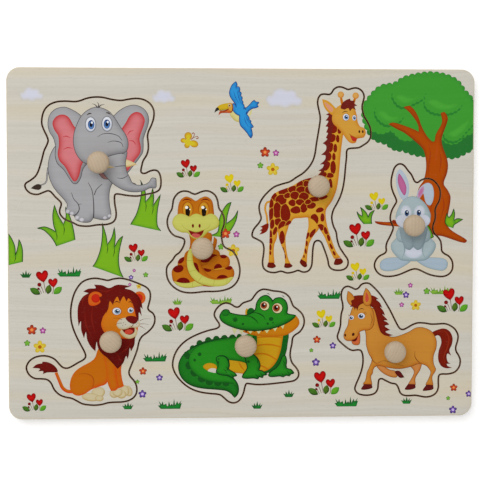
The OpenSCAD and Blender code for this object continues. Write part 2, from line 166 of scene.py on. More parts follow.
def setTheStage():
    v = stageValues
    bpy.context.scene.view_settings.view_transform = "Standard"
    camera = placed("camera", bpy.data.cameras.new("camera"))
    camera.location = [p * unit for p in v["cameraPlace"]]
    camera.rotation_mode = "YXZ"
    camera.rotation_euler = [math.radians(a) for a in v["cameraTilt"]]
    camera.data.lens = v["lens"]
    camera.data.sensor_width = v["sensorWidth"]
    camera.data.clip_start = 0.01
    bpy.context.scene.camera = camera

    lamp = placed("softbox", bpy.data.lights.new("softbox", "AREA"))
    lamp.data.shape = "SQUARE"
    lamp.data.size = v["lampSize"]
    lamp.data.energy = v["lampPower"]
    lamp.location = v["lampPlace"]
    lamp.rotation_euler = (-Vector(v["lampPlace"])).to_track_quat("-Z", "Y").to_euler()

    world = bpy.data.worlds.new("studio")
    world.use_nodes = True
    bpy.context.scene.world = world
    tree = world.node_tree
    tree.nodes.clear()
    path = put(tree, "LightPath").outputs
    mirrored = maths("MAXIMUM", path["Is Glossy Ray"], path["Is Transmission Ray"])
    seen = maths("MAXIMUM", path["Is Camera Ray"], mirrored)
    sky = put(tree, "Background", {"Color": (1, 1, 1, 1), "Strength": v["skyLevel"]}).outputs[0]
    white = put(tree, "Background", {"Color": (1, 1, 1, 1), "Strength": 1.0}).outputs[0]
    both = fed("MixShader", {0: seen, 1: sky, 2: white})[0]
    put(tree, "OutputWorld", {"Surface": both})

    floorMesh = bpy.data.meshes.new("floor")
    radius, sides, height = v["floorRadius"], v["floorSides"], cadBox[0][2] - v["floorDrop"]
    ring = [(math.cos(a) * radius, math.sin(a) * radius, height)
            for a in np.arange(sides) * 2 * math.pi / sides]
    floorMesh.from_pydata(ring, [], [range(sides)])
    floor = placed("floor", floorMesh)
    paper, shader, place = newFinish("whitePaper")
    tree = paper.node_tree
    speckle = noise(place, (900, 900, 900), 4.0)
    base = tint(v["floorColour"])
    dull = [c * v["floorSpeckle"] for c in base[:3]] + [1]
    tree.links.new(blended(speckle, dull, base), shader.inputs["Base Color"])
    shader.inputs["Roughness"].default_value = 0.9
    shader.inputs["Specular IOR Level"].default_value = 0.1
    seen = put(tree, "LightPath").outputs["Is Camera Ray"]
    shader.inputs["Emission Color"].default_value = (1, 1, 1, 1)
    away = fed("VectorMath", {0: place}, operation="LENGTH")["Value"]
    glow = ranged(away, v["glowFrom"], v["glowTo"], v["floorGlow"], v["farGlow"])
    tree.links.new(maths("MULTIPLY", seen, glow), shader.inputs["Emission Strength"])
    floorMesh.materials.append(paper)


setTheStage()
print("stage set")


# Effects that several finishes share

def effectGroup(name, inputs, effect):
    # a node group whose outputs are the values that the effect names
    tree = bpy.data.node_groups.new(name, "ShaderNodeTree")
    for label, kind in inputs.items():
        tree.interface.new_socket(label, in_out="INPUT", socket_type="NodeSocket" + kind)
    values = effect(tree.nodes.new("NodeGroupInput").outputs)
    for label in values:
        tree.interface.new_socket(label, in_out="OUTPUT", socket_type="NodeSocketFloat")
    result = tree.nodes.new("NodeGroupOutput").inputs
    for label, value in values.items():
        tree.links.new(value, result[label])
    return tree


def times(first, second):
    return maths("MULTIPLY", first, second)


def plus(first, second):
    return maths("ADD", first, second)


def minus(first, second):
    return maths("SUBTRACT", first, second)


def slicedGrain(given):
    # veneer with its grain along X: long bands, fine fibres and short open pores
    sway = noise(given["Place"], (9, 9, 9), 1.0)
    lift = fed("CombineXYZ", {"Y": times(minus(sway, 0.5), 0.012)})[0]
    place = fed("VectorMath", {0: given["Place"], 1: lift}, operation="ADD")[0]
    bands = noise(place, (5, 200, 5), 2.0, 0.5)
    lines = noise(place, (8, 620, 8), 1.0, 0.5)
    fibres = noise(place, (45, 1900, 45), 3.0, 0.6)
    stripes = noise(place, (2.2, 42, 2.2), 2.0, 0.5)
    pores = noise(place, (260, 5200, 260), 2.0, 0.5)
    fine = plus(times(ranged(lines, 0.3, 0.7), 0.38), times(ranged(fibres, 0.3, 0.7), 0.25))
    openPores = ranged(pores, 0.64, 0.72)
    return {"Bands": plus(times(ranged(bands, 0.3, 0.7), 0.37), fine),
            "Stripes": ranged(stripes, 0.48, 0.68), "Pores": openPores,
            "Height": minus(times(fibres, 0.6), times(openPores, 0.5))}


def cutLayers(given):
    # the layers of plywood seen on a cut edge, end grain and long grain in turn
    parts = fed("SeparateXYZ", {0: given["Place"]})
    ripple = times(minus(noise(given["Place"], (60, 60, 60), 2.0), 0.5), 0.00025)
    turn = maths("PINGPONG", maths("DIVIDE", plus(parts["Z"], ripple), given["Layer"]), 1.0)
    gap = maths("ABSOLUTE", minus(turn, 0.5))
    glue = minus(1.0, ranged(gap, 0.0, 0.12))
    fibres = noise(given["Place"], (420, 420, 3600), 3.0, 0.6)
    return {"Layers": ranged(turn, 0.42, 0.58), "Fibres": fibres, "Glue": glue,
            "Height": minus(times(fibres, 0.7), times(glue, 0.4))}


def lathedGrain(given):
    # growth rings and turning lines of a small part turned with its axis along the grain
    parts = fed("SeparateXYZ", {0: given["Place"]})
    offset = fed("CombineXYZ", {axis: given["Seed"] for axis in "XYZ"})[0]
    place = fed("VectorMath", {0: given["Place"], 1: offset}, operation="ADD")[0]
    bent = times(minus(noise(place, (120, 120, 20), 2.0), 0.5), 0.003)
    across = plus(plus(parts["X"], times(parts["Y"], 0.45)), bent)
    rings = maths("PINGPONG", times(across, 900.0), 1.0)
    fibres = noise(place, (2600, 2600, 160), 3.0, 0.6)
    squares = plus(times(parts["X"], parts["X"]), times(parts["Y"], parts["Y"]))
    climb = plus(parts["Z"], times(maths("SQRT", squares), 0.7))
    lines = maths("SINE", times(climb, 14000.0))
    return {"Rings": ranged(rings, 0.1, 0.95), "Fibres": fibres, "Lines": ranged(lines, -1.0, 1.0),
            "Height": plus(times(fibres, 0.6), times(lines, 0.12))}


faceGrain = effectGroup("faceGrain", {"Place": "Vector"}, slicedGrain)
plyLayers = effectGroup("plyLayers", {"Place": "Vector", "Layer": "Float"}, cutLayers)
turnedGrain = effectGroup("turnedGrain", {"Place": "Vector", "Seed": "Float"}, lathedGrain)


def grouped(group, inputs):
    # the outputs of a shared effect, placed in a finish
    return fed("Group", inputs, node_tree=group)


def dressed(shader, colour, roughness, height, depth, strength):
    # what every finish ends with: its colour, its roughness and its relief
    bump = fed("Bump", {"Strength": strength, "Distance": depth, "Height": height})[0]
    for socket, value in {"Base Color": colour, "Roughness": roughness, "Normal": bump}.items():
        shader.id_data.links.new(value, shader.inputs[socket])


woodValues = {
    "pale": (212, 208, 197),
    "dark": (198, 193, 180),
    "stripe": (214, 199, 168),
    "pore": (176, 162, 138),
    "inkCover": 1.0,
    "grainInInk": (0.02, 0.015, 0.01, 1),  # linear
    "grainShowing": 0.1,
    "varnishRoughness": 0.32,
    "burntPale": (190, 142, 100),
    "burntDark": (122, 84, 57),
    "burntGlue": (70, 44, 28),
    "edgePale": (230, 223, 208),
    "edgeDark": (212, 201, 180),
    "edgeGlue": (160, 134, 102),
    "backPale": (208, 190, 158),
    "backDark": (178, 152, 114),
    "plyLayer": 0.00125,  # metres
}


def veneerColour(grain, pale, dark, stripe, stripeAmount):
    # the colour of sliced veneer: bands, then wider stripes, then pores
    wood = blended(grain["Bands"], tint(dark), tint(pale))
    wood = blended(times(grain["Stripes"], stripeAmount), wood, tint(stripe))
    return blended(times(grain["Pores"], 0.55), wood, tint(woodValues["pore"]))


def printedWood():
    # the face: bare veneer, with the print's ink where the mesh carries it
    v = woodValues
    finish, shader, place = newFinish("printedWood")
    grain = grouped(faceGrain, {"Place": place})
    wood = veneerColour(grain, v["pale"], v["dark"], v["stripe"], 0.6)
    ink = put(finish.node_tree, "Attribute", attribute_name="ink", attribute_type="GEOMETRY").outputs
    showing = ranged(grain["Bands"], 0, 1, 0.0, v["grainShowing"])
    shown = blended(showing, ink["Color"], v["grainInInk"])
    cover = times(ink["Alpha"], minus(v["inkCover"], times(grain["Pores"], 0.1)))
    shine = plus(times(grain["Bands"], 0.12), times(ink["Alpha"], -0.1))
    shader.inputs["Specular IOR Level"].default_value = 0.025
    shader.inputs["Coat Weight"].default_value = 0.02
    shader.inputs["Coat Roughness"].default_value = v["varnishRoughness"]
    face = blended(cover, wood, shown)
    dressed(shader, face, plus(shine, 0.5), grain["Height"], depth=0.00006, strength=0.5)
    return finish


def plyEdge(name, colours, roughness, char):
    # a cut edge in three of the wood colours: layers, fibres and glue, browner where char is high
    v = woodValues
    pale, dark, glue = (tint(v[colour]) for colour in colours)
    finish, shader, place = newFinish(name)
    ply = grouped(plyLayers, {"Place": place, "Layer": v["plyLayer"]})
    wood = blended(ply["Layers"], dark, pale)
    wood = blended(ranged(ply["Fibres"], 0.35, 0.75, 0.0, 0.5), wood, dark)
    wood = blended(times(ply["Glue"], 0.6), wood, glue)
    soot = ranged(noise(place, (180, 180, 700), 4.0, 0.6), 0.35, 0.7, 0.0, char)
    rough = ranged(ply["Fibres"], 0.3, 0.7, roughness, roughness + 0.12)
    wood = blended(soot, wood, tint(v["burntDark"]))
    dressed(shader, wood, rough, ply["Height"], depth=0.0001, strength=0.7)
    return finish


def plainVeneer():
    # the unprinted undersides, sanded but not varnished
    v = woodValues
    finish, shader, place = newFinish("plainVeneer")
    grain = grouped(faceGrain, {"Place": place})
    wood = veneerColour(grain, v["backPale"], v["backDark"], v["edgeDark"], 0.35)
    rough = ranged(grain["Bands"], 0, 1, 0.62, 0.74)
    dressed(shader, wood, rough, grain["Height"], depth=0.0001, strength=0.7)
    return finish


printed = printedWood()
burntEdge = plyEdge("burntEdge", ["burntPale", "burntDark", "burntGlue"], roughness=0.72, char=0.7)
sandedEdge = plyEdge("sandedEdge", ["edgePale", "edgeDark", "edgeGlue"], roughness=0.6, char=0.12)
underside = plainVeneer()
print("wood finishes made")


# Drawing tools: a picture is a list of flat shapes, in board millimetres, each laid over the last

thinnest = 0.05  # the least width of a drawn line
pairsAtOnce = 2000000  # points times sides that are measured in one go


def curve(points, steps=4, closed=True):
    # a smooth line through the points, where a point with a third value is a sharp corner
    path = np.array([p[:2] for p in points for _ in range(len(p) - 1)], float)
    around = np.vstack([path[-1:], path, path[:2]] if closed else [path[:1], path, path[-1:]])
    line = []
    for a, b, c, d in zip(around, around[1:], around[2:], around[3:]):
        span = np.linalg.norm(c - b)
        if span < 1e-6:
            continue
        leaving = (c - a) * span / (span + np.linalg.norm(b - a))
        arriving = (d - b) * span / (span + np.linalg.norm(d - c))
        for t in np.arange(steps) / steps:
            line.append((2 * t**3 - 3 * t**2 + 1) * b + (t**3 - 2 * t**2 + t) * leaving
                        + (3 * t**2 - 2 * t**3) * c + (t**3 - t**2) * arriving)
    if not closed:
        line.append(path[-1])
    return np.array(line)


def turned(shape, degrees):
    # an outline turned about the zero point, anticlockwise
    s, c = math.sin(math.radians(degrees)), math.cos(math.radians(degrees))
    return shape @ np.array([[c, s], [-s, c]])


def oval(x, y, rx, ry, turn=0, sides=20):
    # a turned ellipse about a point
    a = np.arange(sides) * 2 * math.pi / sides
    return turned(np.stack([rx * np.cos(a), ry * np.sin(a)], 1), turn) + (x, y)


def arc(centre, radii, first, last, squareness=2.0, steps=14):
    # points of a round or squarish arc, from a first angle to a last, in degrees
    line = []
    for k in range(steps + 1):
        a = math.radians(first + (last - first) * k / steps)
        x, y = (math.copysign(abs(t) ** (2 / squareness), t) for t in (math.cos(a), math.sin(a)))
        line.append((centre[0] + radii[0] * x, centre[1] + radii[1] * y))
    return line


def sideways(line, closed):
    # the unit normal to the left of each point of a line
    along = np.roll(line, -1, 0) - np.roll(line, 1, 0) if closed else np.gradient(line, axis=0)
    across = np.stack([-along[:, 1], along[:, 0]], 1)
    return across / np.maximum(np.linalg.norm(across, axis=1), 1e-9)[:, None]


def ribbon(points, start, end=None, middle=None):
    # a stroke whose width runs from start through middle to end
    line = curve(points, closed=False)
    end = start if end is None else end
    middle = (start + end) / 2 if middle is None else middle
    t = np.linspace(0, 1, len(line))
    wide = np.where(t < 0.5, start + (middle - start) * 2 * t, middle + (end - middle) * (2 * t - 1))
    across = sideways(line, False) * np.maximum(wide, thinnest)[:, None] / 2
    return np.vstack([line + across, (line - across)[::-1]])


def area(shape):
    # above zero for an outline that runs anticlockwise
    x, y = shape.T
    return (x * np.roll(y, -1) - y * np.roll(x, -1)).sum() / 2


def grown(shape, by):
    # an outline moved out on all sides
    return shape - sideways(shape, True) * math.copysign(by, area(shape))


def inside(shape, points):
    # which of the points an outline encloses
    (ax, ay), (bx, by) = shape.T, np.roll(shape, -1, 0).T
    px, py = points[:, :1], points[:, 1:]
    left = (bx - ax) * (py - ay) - (px - ax) * (by - ay)
    up = (ay <= py) & (by > py) & (left > 0)
    down = (ay > py) & (by <= py) & (left < 0)
    return up.sum(1) != down.sum(1)


def nearest(shape, points):
    # for each point, its distance to an outline, the nearest side's number and how far along it is
    start, side = shape, np.roll(shape, -1, 0) - shape
    length = np.maximum((side**2).sum(1), 1e-12)
    reach, number, along = [], [], []
    for block in np.array_split(points, max(1, len(points) * len(shape) // pairsAtOnce)):
        gap = block[:, None] - start[None]
        t = np.clip((gap * side[None]).sum(2) / length, 0, 1)
        away = ((gap - t[..., None] * side[None])**2).sum(2)
        best = away.argmin(1)
        rows = np.arange(len(block))
        reach.append(np.sqrt(away[rows, best]))
        number.append(best)
        along.append(t[rows, best])
    return np.concatenate(reach), np.concatenate(number), np.concatenate(along)


class Drawing:
    # the shapes of one picture, its inks by name and the corner that its own millimetres start from
    def __init__(self, low, layers, inks):
        self.low, self.layers, self.inks = np.array(low, float), layers, inks

    def fill(self, shape, ink, reach=0, shade=None, side=True, rim=0, rimInk="line", within=()):
        # within its reach of the edge an ink runs into its shade, most at the lower right if side is true
        shape = (curve(shape) if isinstance(shape, list) else shape) + self.low
        within = [limit + self.low for limit in within]
        shade = ink + "Deep" if reach and shade is None else shade
        ink, shade, rimInk = (self.inks.get(name, name) for name in (ink, shade, rimInk))
        if rim:
            self.layers.append(dict(shape=grown(shape, rim), ink=rimInk, shade=None, within=within))
        self.layers.append(dict(shape=shape, ink=ink, shade=shade, reach=reach, side=side, within=within))

    def ovals(self, places, *style, **limits):
        # one look for several ovals, each given by its middle, its radii and its turn
        for place in places:
            self.fill(oval(*place), *style, **limits)

    def line(self, points, ink, start=0.3, end=None, middle=None, within=()):
        self.fill(ribbon(points, start, end, middle), ink, within=within)

    def lines(self, strokes, *style, **limits):
        # one look for several strokes
        for points in strokes:
            self.line(points, *style, **limits)


eyeInks = {"eyeWhite": (228, 231, 238), "pupil": (16, 23, 42), "glint": (241, 245, 250)}


def eye(d, x, y, rx, ry, look=(0, 0), lid=None, iris=0.66):
    # a white oval with an iris, a pupil and one glint
    if lid:
        d.fill(oval(x, y, rx * 1.16, ry * 1.12), lid)
    d.fill(oval(x, y, rx, ry), "eyeWhite", rx * 0.5, (176, 184, 200))
    ix, iy = x + look[0], y + look[1]
    d.fill(oval(ix, iy, rx * iris, ry * iris), "irisDeep")
    d.fill(oval(ix, iy - ry * 0.08, rx * iris * 0.8, ry * iris * 0.8), "iris")
    d.fill(oval(ix, iy, rx * iris * 0.5, ry * iris * 0.5), "pupil")
    d.fill(oval(ix + rx * 0.18, iy + ry * 0.3, rx * 0.2, ry * 0.17), "glint")


def blotch(x, y, rx, ry, turn, chance):
    # an uneven rounded patch of a coat
    corners = []
    start = chance.uniform(0, 1)
    for k in range(6):
        a = start + k * math.pi / 3 + chance.uniform(-0.2, 0.2)
        reach = chance.uniform(1.2, 1.4)
        corners.append((rx * reach * math.cos(a), ry * reach * math.sin(a)))
    return turned(curve(corners, 2), turn) + (x, y)


# The animals, each drawn from the lower left corner of its own piece

elephantInks = {"skin": (170, 169, 171), "skinDeep": (124, 123, 126), "line": (76, 72, 74),
    "ear": (216, 125, 130), "earDeep": (190, 46, 48), "nail": (206, 204, 208), "tuft": (58, 46, 38),
    "tusk": (222, 206, 160), "mouth": (150, 108, 104), "iris": (84, 128, 188), "irisDeep": (40, 66, 120),
    **eyeInks}


def elephantArt(d):
    skin = dict(reach=5, rim=0.35)
    for ink, start, end in [("line", 1.1, 0.8), ("skin", 0.5, 0.3)]:
        d.line([(14.4, 37), (13.6, 32), (13.3, 28.5), (11.8, 26.6), (9, 25.6)], ink, start, end)
    d.fill([(3.2, 23.7, 0), (5.5, 25.6), (8, 26.5), (9.9, 25.6), (9.8, 23.7), (8, 22.7)], "tuft")
    # body and the two near legs
    d.fill([(20, 51), (16.6, 46.5), (14.7, 40), (14.7, 33), (16.8, 26.5), (20, 21.6), (24.2, 17),
        (26.4, 13.6), (26, 11), (25.2, 9.2), (27.5, 7.4), (30.6, 6.4), (32, 3.8), (36, 2.3), (40.5, 2.5),
        (42.7, 5, 0), (49.5, 3.7), (53, 4.6), (53.9, 7.5), (53, 13), (52.7, 19), (53.8, 25), (56.5, 30),
        (58, 40), (48, 52), (34, 56)], "skin", **skin)
    d.line([(39.6, 27.5), (42, 22.5), (42.9, 16), (43.1, 9), (42.8, 4.6)], "line", 0.3, 0.8)
    d.line([(48.5, 26.5), (45, 23.2), (43.4, 19.5)], "line", 0.3, 0.6)
    d.line([(29, 21), (30.4, 17), (33, 14), (33.9, 10.6), (32.4, 7.6), (30.4, 6.2)], "line", 0.3, 0.8)
    d.line([(33.2, 13.6), (35.6, 13.8)], "line", 0.4, 0.2)
    for x, y, r, turn in [(26.6, 8.9, 1.25, 40), (29.2, 7.8, 1.3, 0), (32.5, 5, 1.4, 30),
            (35.4, 3.7, 1.5, 0), (50.2, 4.9, 1.2, 0), (53, 6.2, 1.1, 50)]:
        d.fill(oval(x, y, r, r * 0.85, turn, 12), "nail", 0.8, (168, 166, 172))
    # ears, each with a warm inner face
    d.fill([(54, 66), (57.5, 71), (62.5, 74.8), (68.5, 76.6), (74, 75), (77.4, 71), (78, 65.6),
        (74.7, 55.6), (74.6, 50.5), (73.9, 46), (64.2, 33.2, 0), (61, 38), (58, 50)], "skin", **skin)
    d.fill([(60.4, 60), (63.6, 65.4), (66.6, 70.4), (70.4, 72.4), (74, 71), (75.8, 66.6), (72.4, 55.6),
        (73.2, 50), (72.6, 46), (69.4, 41.6), (64.2, 34.6), (62.6, 39), (60, 48)], "ear", 5, side=False)
    d.fill([(36, 69), (26.5, 74.8), (20.5, 74.4), (16.2, 71), (14.6, 65.6), (15.4, 60), (18, 55.6),
        (19.3, 50), (19, 44.5), (20.4, 39.6), (24.4, 35.6), (30, 27.2), (32.4, 27), (34.8, 30.6),
        (36.2, 36), (40, 42), (40, 60)], "skin", **skin)
    d.fill([(27.4, 69), (23.6, 70.6), (19.6, 69.2), (17.3, 65.4), (18.4, 61), (20.8, 57), (21.2, 51),
        (20.4, 45.5), (21.6, 41.2), (25, 37.4), (30, 28.6), (32, 28.4), (34, 32), (35.4, 38), (38, 44),
        (38, 58), (31.6, 62.4)], "ear", 5, side=False)
    d.lines([[(23.8, 56.4), (26, 56.9), (28.4, 55.8)], [(24, 48.4), (26.6, 49.6), (30, 49.2)],
        [(68.6, 60.6), (66.4, 60), (64.6, 57.8)], [(70, 51.6), (68.4, 53.8), (65.6, 54.2)]],
        "earDeep", 0.2, 0.2, 0.6)
    # lower lip, tusks and trunk
    d.fill([(45, 37), (47.4, 32), (50, 29.9), (53, 30.2), (52, 34), (48, 38)], "mouth", rim=0.35)
    d.fill([(63, 42), (67, 41), (70.8, 39, 0), (67, 37.8), (62.4, 37.6)], "tusk", 1.6, (196, 158, 84))
    d.fill([(45, 50), (46, 41), (47, 37), (50.4, 32.2), (54, 28.2), (58.4, 24.8), (63.5, 22.4),
        (69, 21.6), (74.5, 22.2), (79, 24.2), (82.4, 24.2), (82.8, 27.4), (82.6, 30, 0), (80.2, 30.2),
        (78.6, 27.8), (76, 26.2), (71.5, 25.6), (67.8, 27), (66, 30.4), (64, 34.6), (63.2, 40),
        (63.6, 48)], "skin", **skin)
    d.lines([[(56.5, 37.6), (60, 38), (63.2, 38.2)], [(58, 30.4), (61.6, 30.2), (65, 32)],
        [(51, 46), (57, 46.6), (63, 45.6)], [(68, 27.4), (69.6, 26.6), (70, 25.8)], [(72.4, 29.4),
        (73.4, 27.4), (73.8, 25.9)]], "line", 0.2, 0.3, 0.5)
    d.fill([(46, 40.2), (51, 39), (56.6, 37, 0), (51, 36.6), (46, 37)], "tusk", 1.4, (196, 158, 84))
    # head over all
    d.fill([(46, 75.2), (40.6, 73.8), (36, 70), (33, 64.6), (31, 58.6), (30.6, 52.4), (32, 46.6),
        (35, 42), (39, 39.4), (46, 39.6), (52, 44), (58, 45.8), (63.6, 47.2), (65, 52), (63.8, 57),
        (60.6, 62), (53.6, 72)], "skin", **skin)
    d.lines([[(45.6, 56.4), (49, 58.3), (54, 58.6), (59, 57), (61.4, 54)],
        [(52, 53), (56, 53.9), (60.6, 52.8), (62, 50)]], "line", 0.2, 0.3, 0.5)
    d.lines([[(45.6, 75), (44.6, 76.6), (42.4, 77.6)], [(46, 75), (46.6, 77), (45.4, 78.6)],
        [(46.4, 75), (48, 76.6), (50.4, 77)]], "line", 0.9, 0.15)
    eye(d, 41.4, 64.4, 3.1, 4.5, look=(0.3, -0.2), lid="skinDeep")
    eye(d, 51.8, 64.8, 3.1, 4.5, look=(-0.1, -0.2), lid="skinDeep")
    d.line([(39, 70.2), (40.4, 71.2), (42, 71.3)], "tuft", 0.2, 0.4, 0.9)
    d.line([(51.2, 71.8), (52.8, 71.6), (54, 70.6)], "tuft", 0.4, 0.2, 0.9)


snakeInks = {"skin": (192, 110, 14), "skinDeep": (160, 76, 4), "belly": (202, 202, 100),
    "bellyDeep": (176, 168, 62), "spot": (112, 8, 2), "line": (140, 62, 6), "mouth": (128, 18, 10),
    "tongue": (204, 92, 84), "ring": (208, 148, 36), "pupil": (24, 12, 2), "glint": (250, 244, 232)}


def snakeArt(d):
    skin = dict(reach=3, rim=0.15)
    belly = dict(reach=1.8)
    # tail tip, then the coils from the back to the front
    d.fill([(27, 27), (29.4, 30.6), (30.2, 35.6, 0), (32, 33.4), (30, 26.6)], "skin", **skin)
    top = curve([(11.4, 21.4), (11.4, 24.4), (13.2, 26.6), (17, 27.6), (24, 27), (30, 27.8), (33, 26.4),
        (34, 23.6), (33, 20), (24, 17)])
    d.fill(top, "skin", **skin)
    d.fill([(21, 23), (28.4, 24.6), (32.6, 23.9, 0), (29.4, 22.4), (27, 19.8), (24, 19), (21, 20)],
        "spot", within=[top])
    middle = curve([(7.2, 17), (7.2, 20), (9.4, 22.2), (13, 22.6), (20, 17), (25, 18), (28.2, 21),
        (32, 23), (36.4, 24), (39.4, 22.4), (40.3, 19.4), (39.4, 16.4), (34, 13.6), (12, 14)])
    d.fill(middle, "skin", **skin)
    d.ovals([(8.8, 20.8, 1.9, 2.7, -40), (36.2, 23.4, 2.3, 1.7, -8), (32.8, 15.4, 2.7, 2.9)], "spot",
        within=[middle])
    d.fill([(29.6, 14.4), (33, 15.4), (37.4, 15.6), (36.4, 13.6), (31, 13)], "ring", 1, "skin")
    low = curve([(3.1, 11.4), (3.5, 14.6), (6, 17), (10, 17.4), (16, 15.4), (23, 15.6), (30, 14.2),
        (36, 14.8), (40.6, 16.8), (42.8, 14), (43, 11), (41, 7.4), (36, 4.6), (28, 3.6), (22, 4),
        (14, 2.8), (8, 3.8), (4.2, 7)])
    d.fill(low, "skin", **skin)
    d.ovals([(7.2, 15.2, 3.4, 2.5, 10), (10.2, 6, 4.5, 3.5), (26.2, 16, 2.9, 3), (39, 16.4, 3, 2, -20),
        (35.6, 8, 4, 3.2)], "spot", within=[low])
    under = curve([(4.4, 7), (9, 6), (14, 6), (19, 7.4), (24, 5), (20, 3.4), (14, 2.7), (8, 3.5)])
    d.fill(under, "belly", **belly, within=[low])
    d.line([(16.2, 2.6), (16.4, 6.6)], "bellyDeep", 0.3, within=[under])
    # the raised neck with its banded front
    neck = curve([(14.8, 38), (15, 33), (14.4, 28), (12.6, 24.6), (12.2, 20), (13, 14.6), (15.6, 9.8),
        (20, 6), (26, 4.2), (33, 4), (39, 6), (42.6, 10), (36, 8.8), (30, 9), (25.6, 11.6), (22.8, 15.6),
        (21.6, 20), (24, 26), (28.2, 32), (28, 38)])
    d.fill(neck, "skin", **skin)
    d.fill([(16.6, 19), (19, 18.6), (20.2, 15.6), (20.6, 12.4), (18.6, 14)], "spot", within=[neck])
    front = curve([(14.2, 27.6), (12.8, 22), (13, 16), (15.2, 10.6), (19.6, 6.4), (25.4, 4.3),
        (32.6, 3.6), (38.6, 5), (42.6, 9.8), (36, 8.2), (30.4, 8), (25, 9.6), (20.6, 12.4), (17.6, 16.6),
        (16.4, 22), (16.2, 28)])
    d.fill(front, "belly", **belly)
    d.lines([[(12.4, 20.4), (17, 20.2)], [(13.4, 13.2), (18.8, 14.4)], [(19.4, 6.2), (22.6, 10.6)],
        [(29.4, 3.4), (30.6, 8.2)], [(38, 4.4), (38.8, 8.8)]], "bellyDeep", 0.3, within=[front])
    # head
    d.fill([(8, 48), (7.2, 54), (8.6, 58.8), (12, 61.3), (15.4, 60.4), (18.4, 58.6), (21.6, 60.4),
        (25, 61.4), (28.6, 59), (29.7, 54), (29.2, 48)], "skin", 2.4, rim=0.15)
    for x in (13.3, 23.7):
        d.fill(oval(x, 53.6, 4, 5.2), "skinDeep", 1, "skin", side=False)
        d.fill(oval(x, 53, 3.1, 4.8), "ring", 1, (186, 124, 26))
        d.fill(oval(x, 52, 1.5, 3.8), "pupil")
        d.fill(oval(x - 0.7, 54.5, 1.05, 0.95, 0, 14), "glint")
        d.fill(oval(x + 1.4, 53.2, 0.4, 0.45, 0, 10), "glint")
    for x in (12.8, 24.6):
        d.line([(x - 2.9, 58.5), (x - 1.2, 59.6), (x + 1.2, 59.6), (x + 2.9, 58.5)], "spot", 0.25, 0.25,
            0.95)
    d.fill([(18.8, 50.5), (21.6, 49.7), (23.4, 48.7), (28, 50.5), (31.4, 49), (33.4, 45.4), (32.4, 41.8),
        (26, 38.6), (23.4, 36), (19.6, 34.2), (15.8, 35.4), (13.2, 38.2), (9.4, 38.6), (5.4, 40.8),
        (3.5, 44.4), (4.6, 48.2), (8, 50.4), (11.6, 49.8), (14.4, 48.6), (16.4, 49.8)], "belly", 2.4,
        rim=0.12, rimInk=(170, 150, 60))
    mouth = curve([(13.4, 40.2, 0), (18.5, 38.6), (23.8, 40, 0), (22.4, 37), (19.6, 35), (16.2, 36)])
    d.fill(mouth, "mouth")
    d.fill(oval(18.6, 36.2, 3.1, 1.6, -8), "tongue", within=[mouth])
    d.line([(9.4, 43.8), (11.2, 41.2), (18.5, 39.1), (26, 41.2), (27.8, 43.8)], "bellyDeep", 0.2, 0.2, 0.4)
    for x in (16.6, 20.9):
        d.fill(oval(x, 42.7, 0.7, 1.25, 0, 12), "spot")


giraffeInks = {"skin": (216, 160, 48), "skinDeep": (196, 112, 20), "patch": (128, 24, 4),
    "mane": (112, 30, 22), "hoof": (110, 22, 8), "line": (168, 92, 16), "muzzle": (214, 158, 60),
    "mouth": (190, 46, 30), "ear": (216, 150, 120), "dark": (70, 24, 8), "iris": (96, 132, 176),
    "irisDeep": (52, 80, 124), **eyeInks}


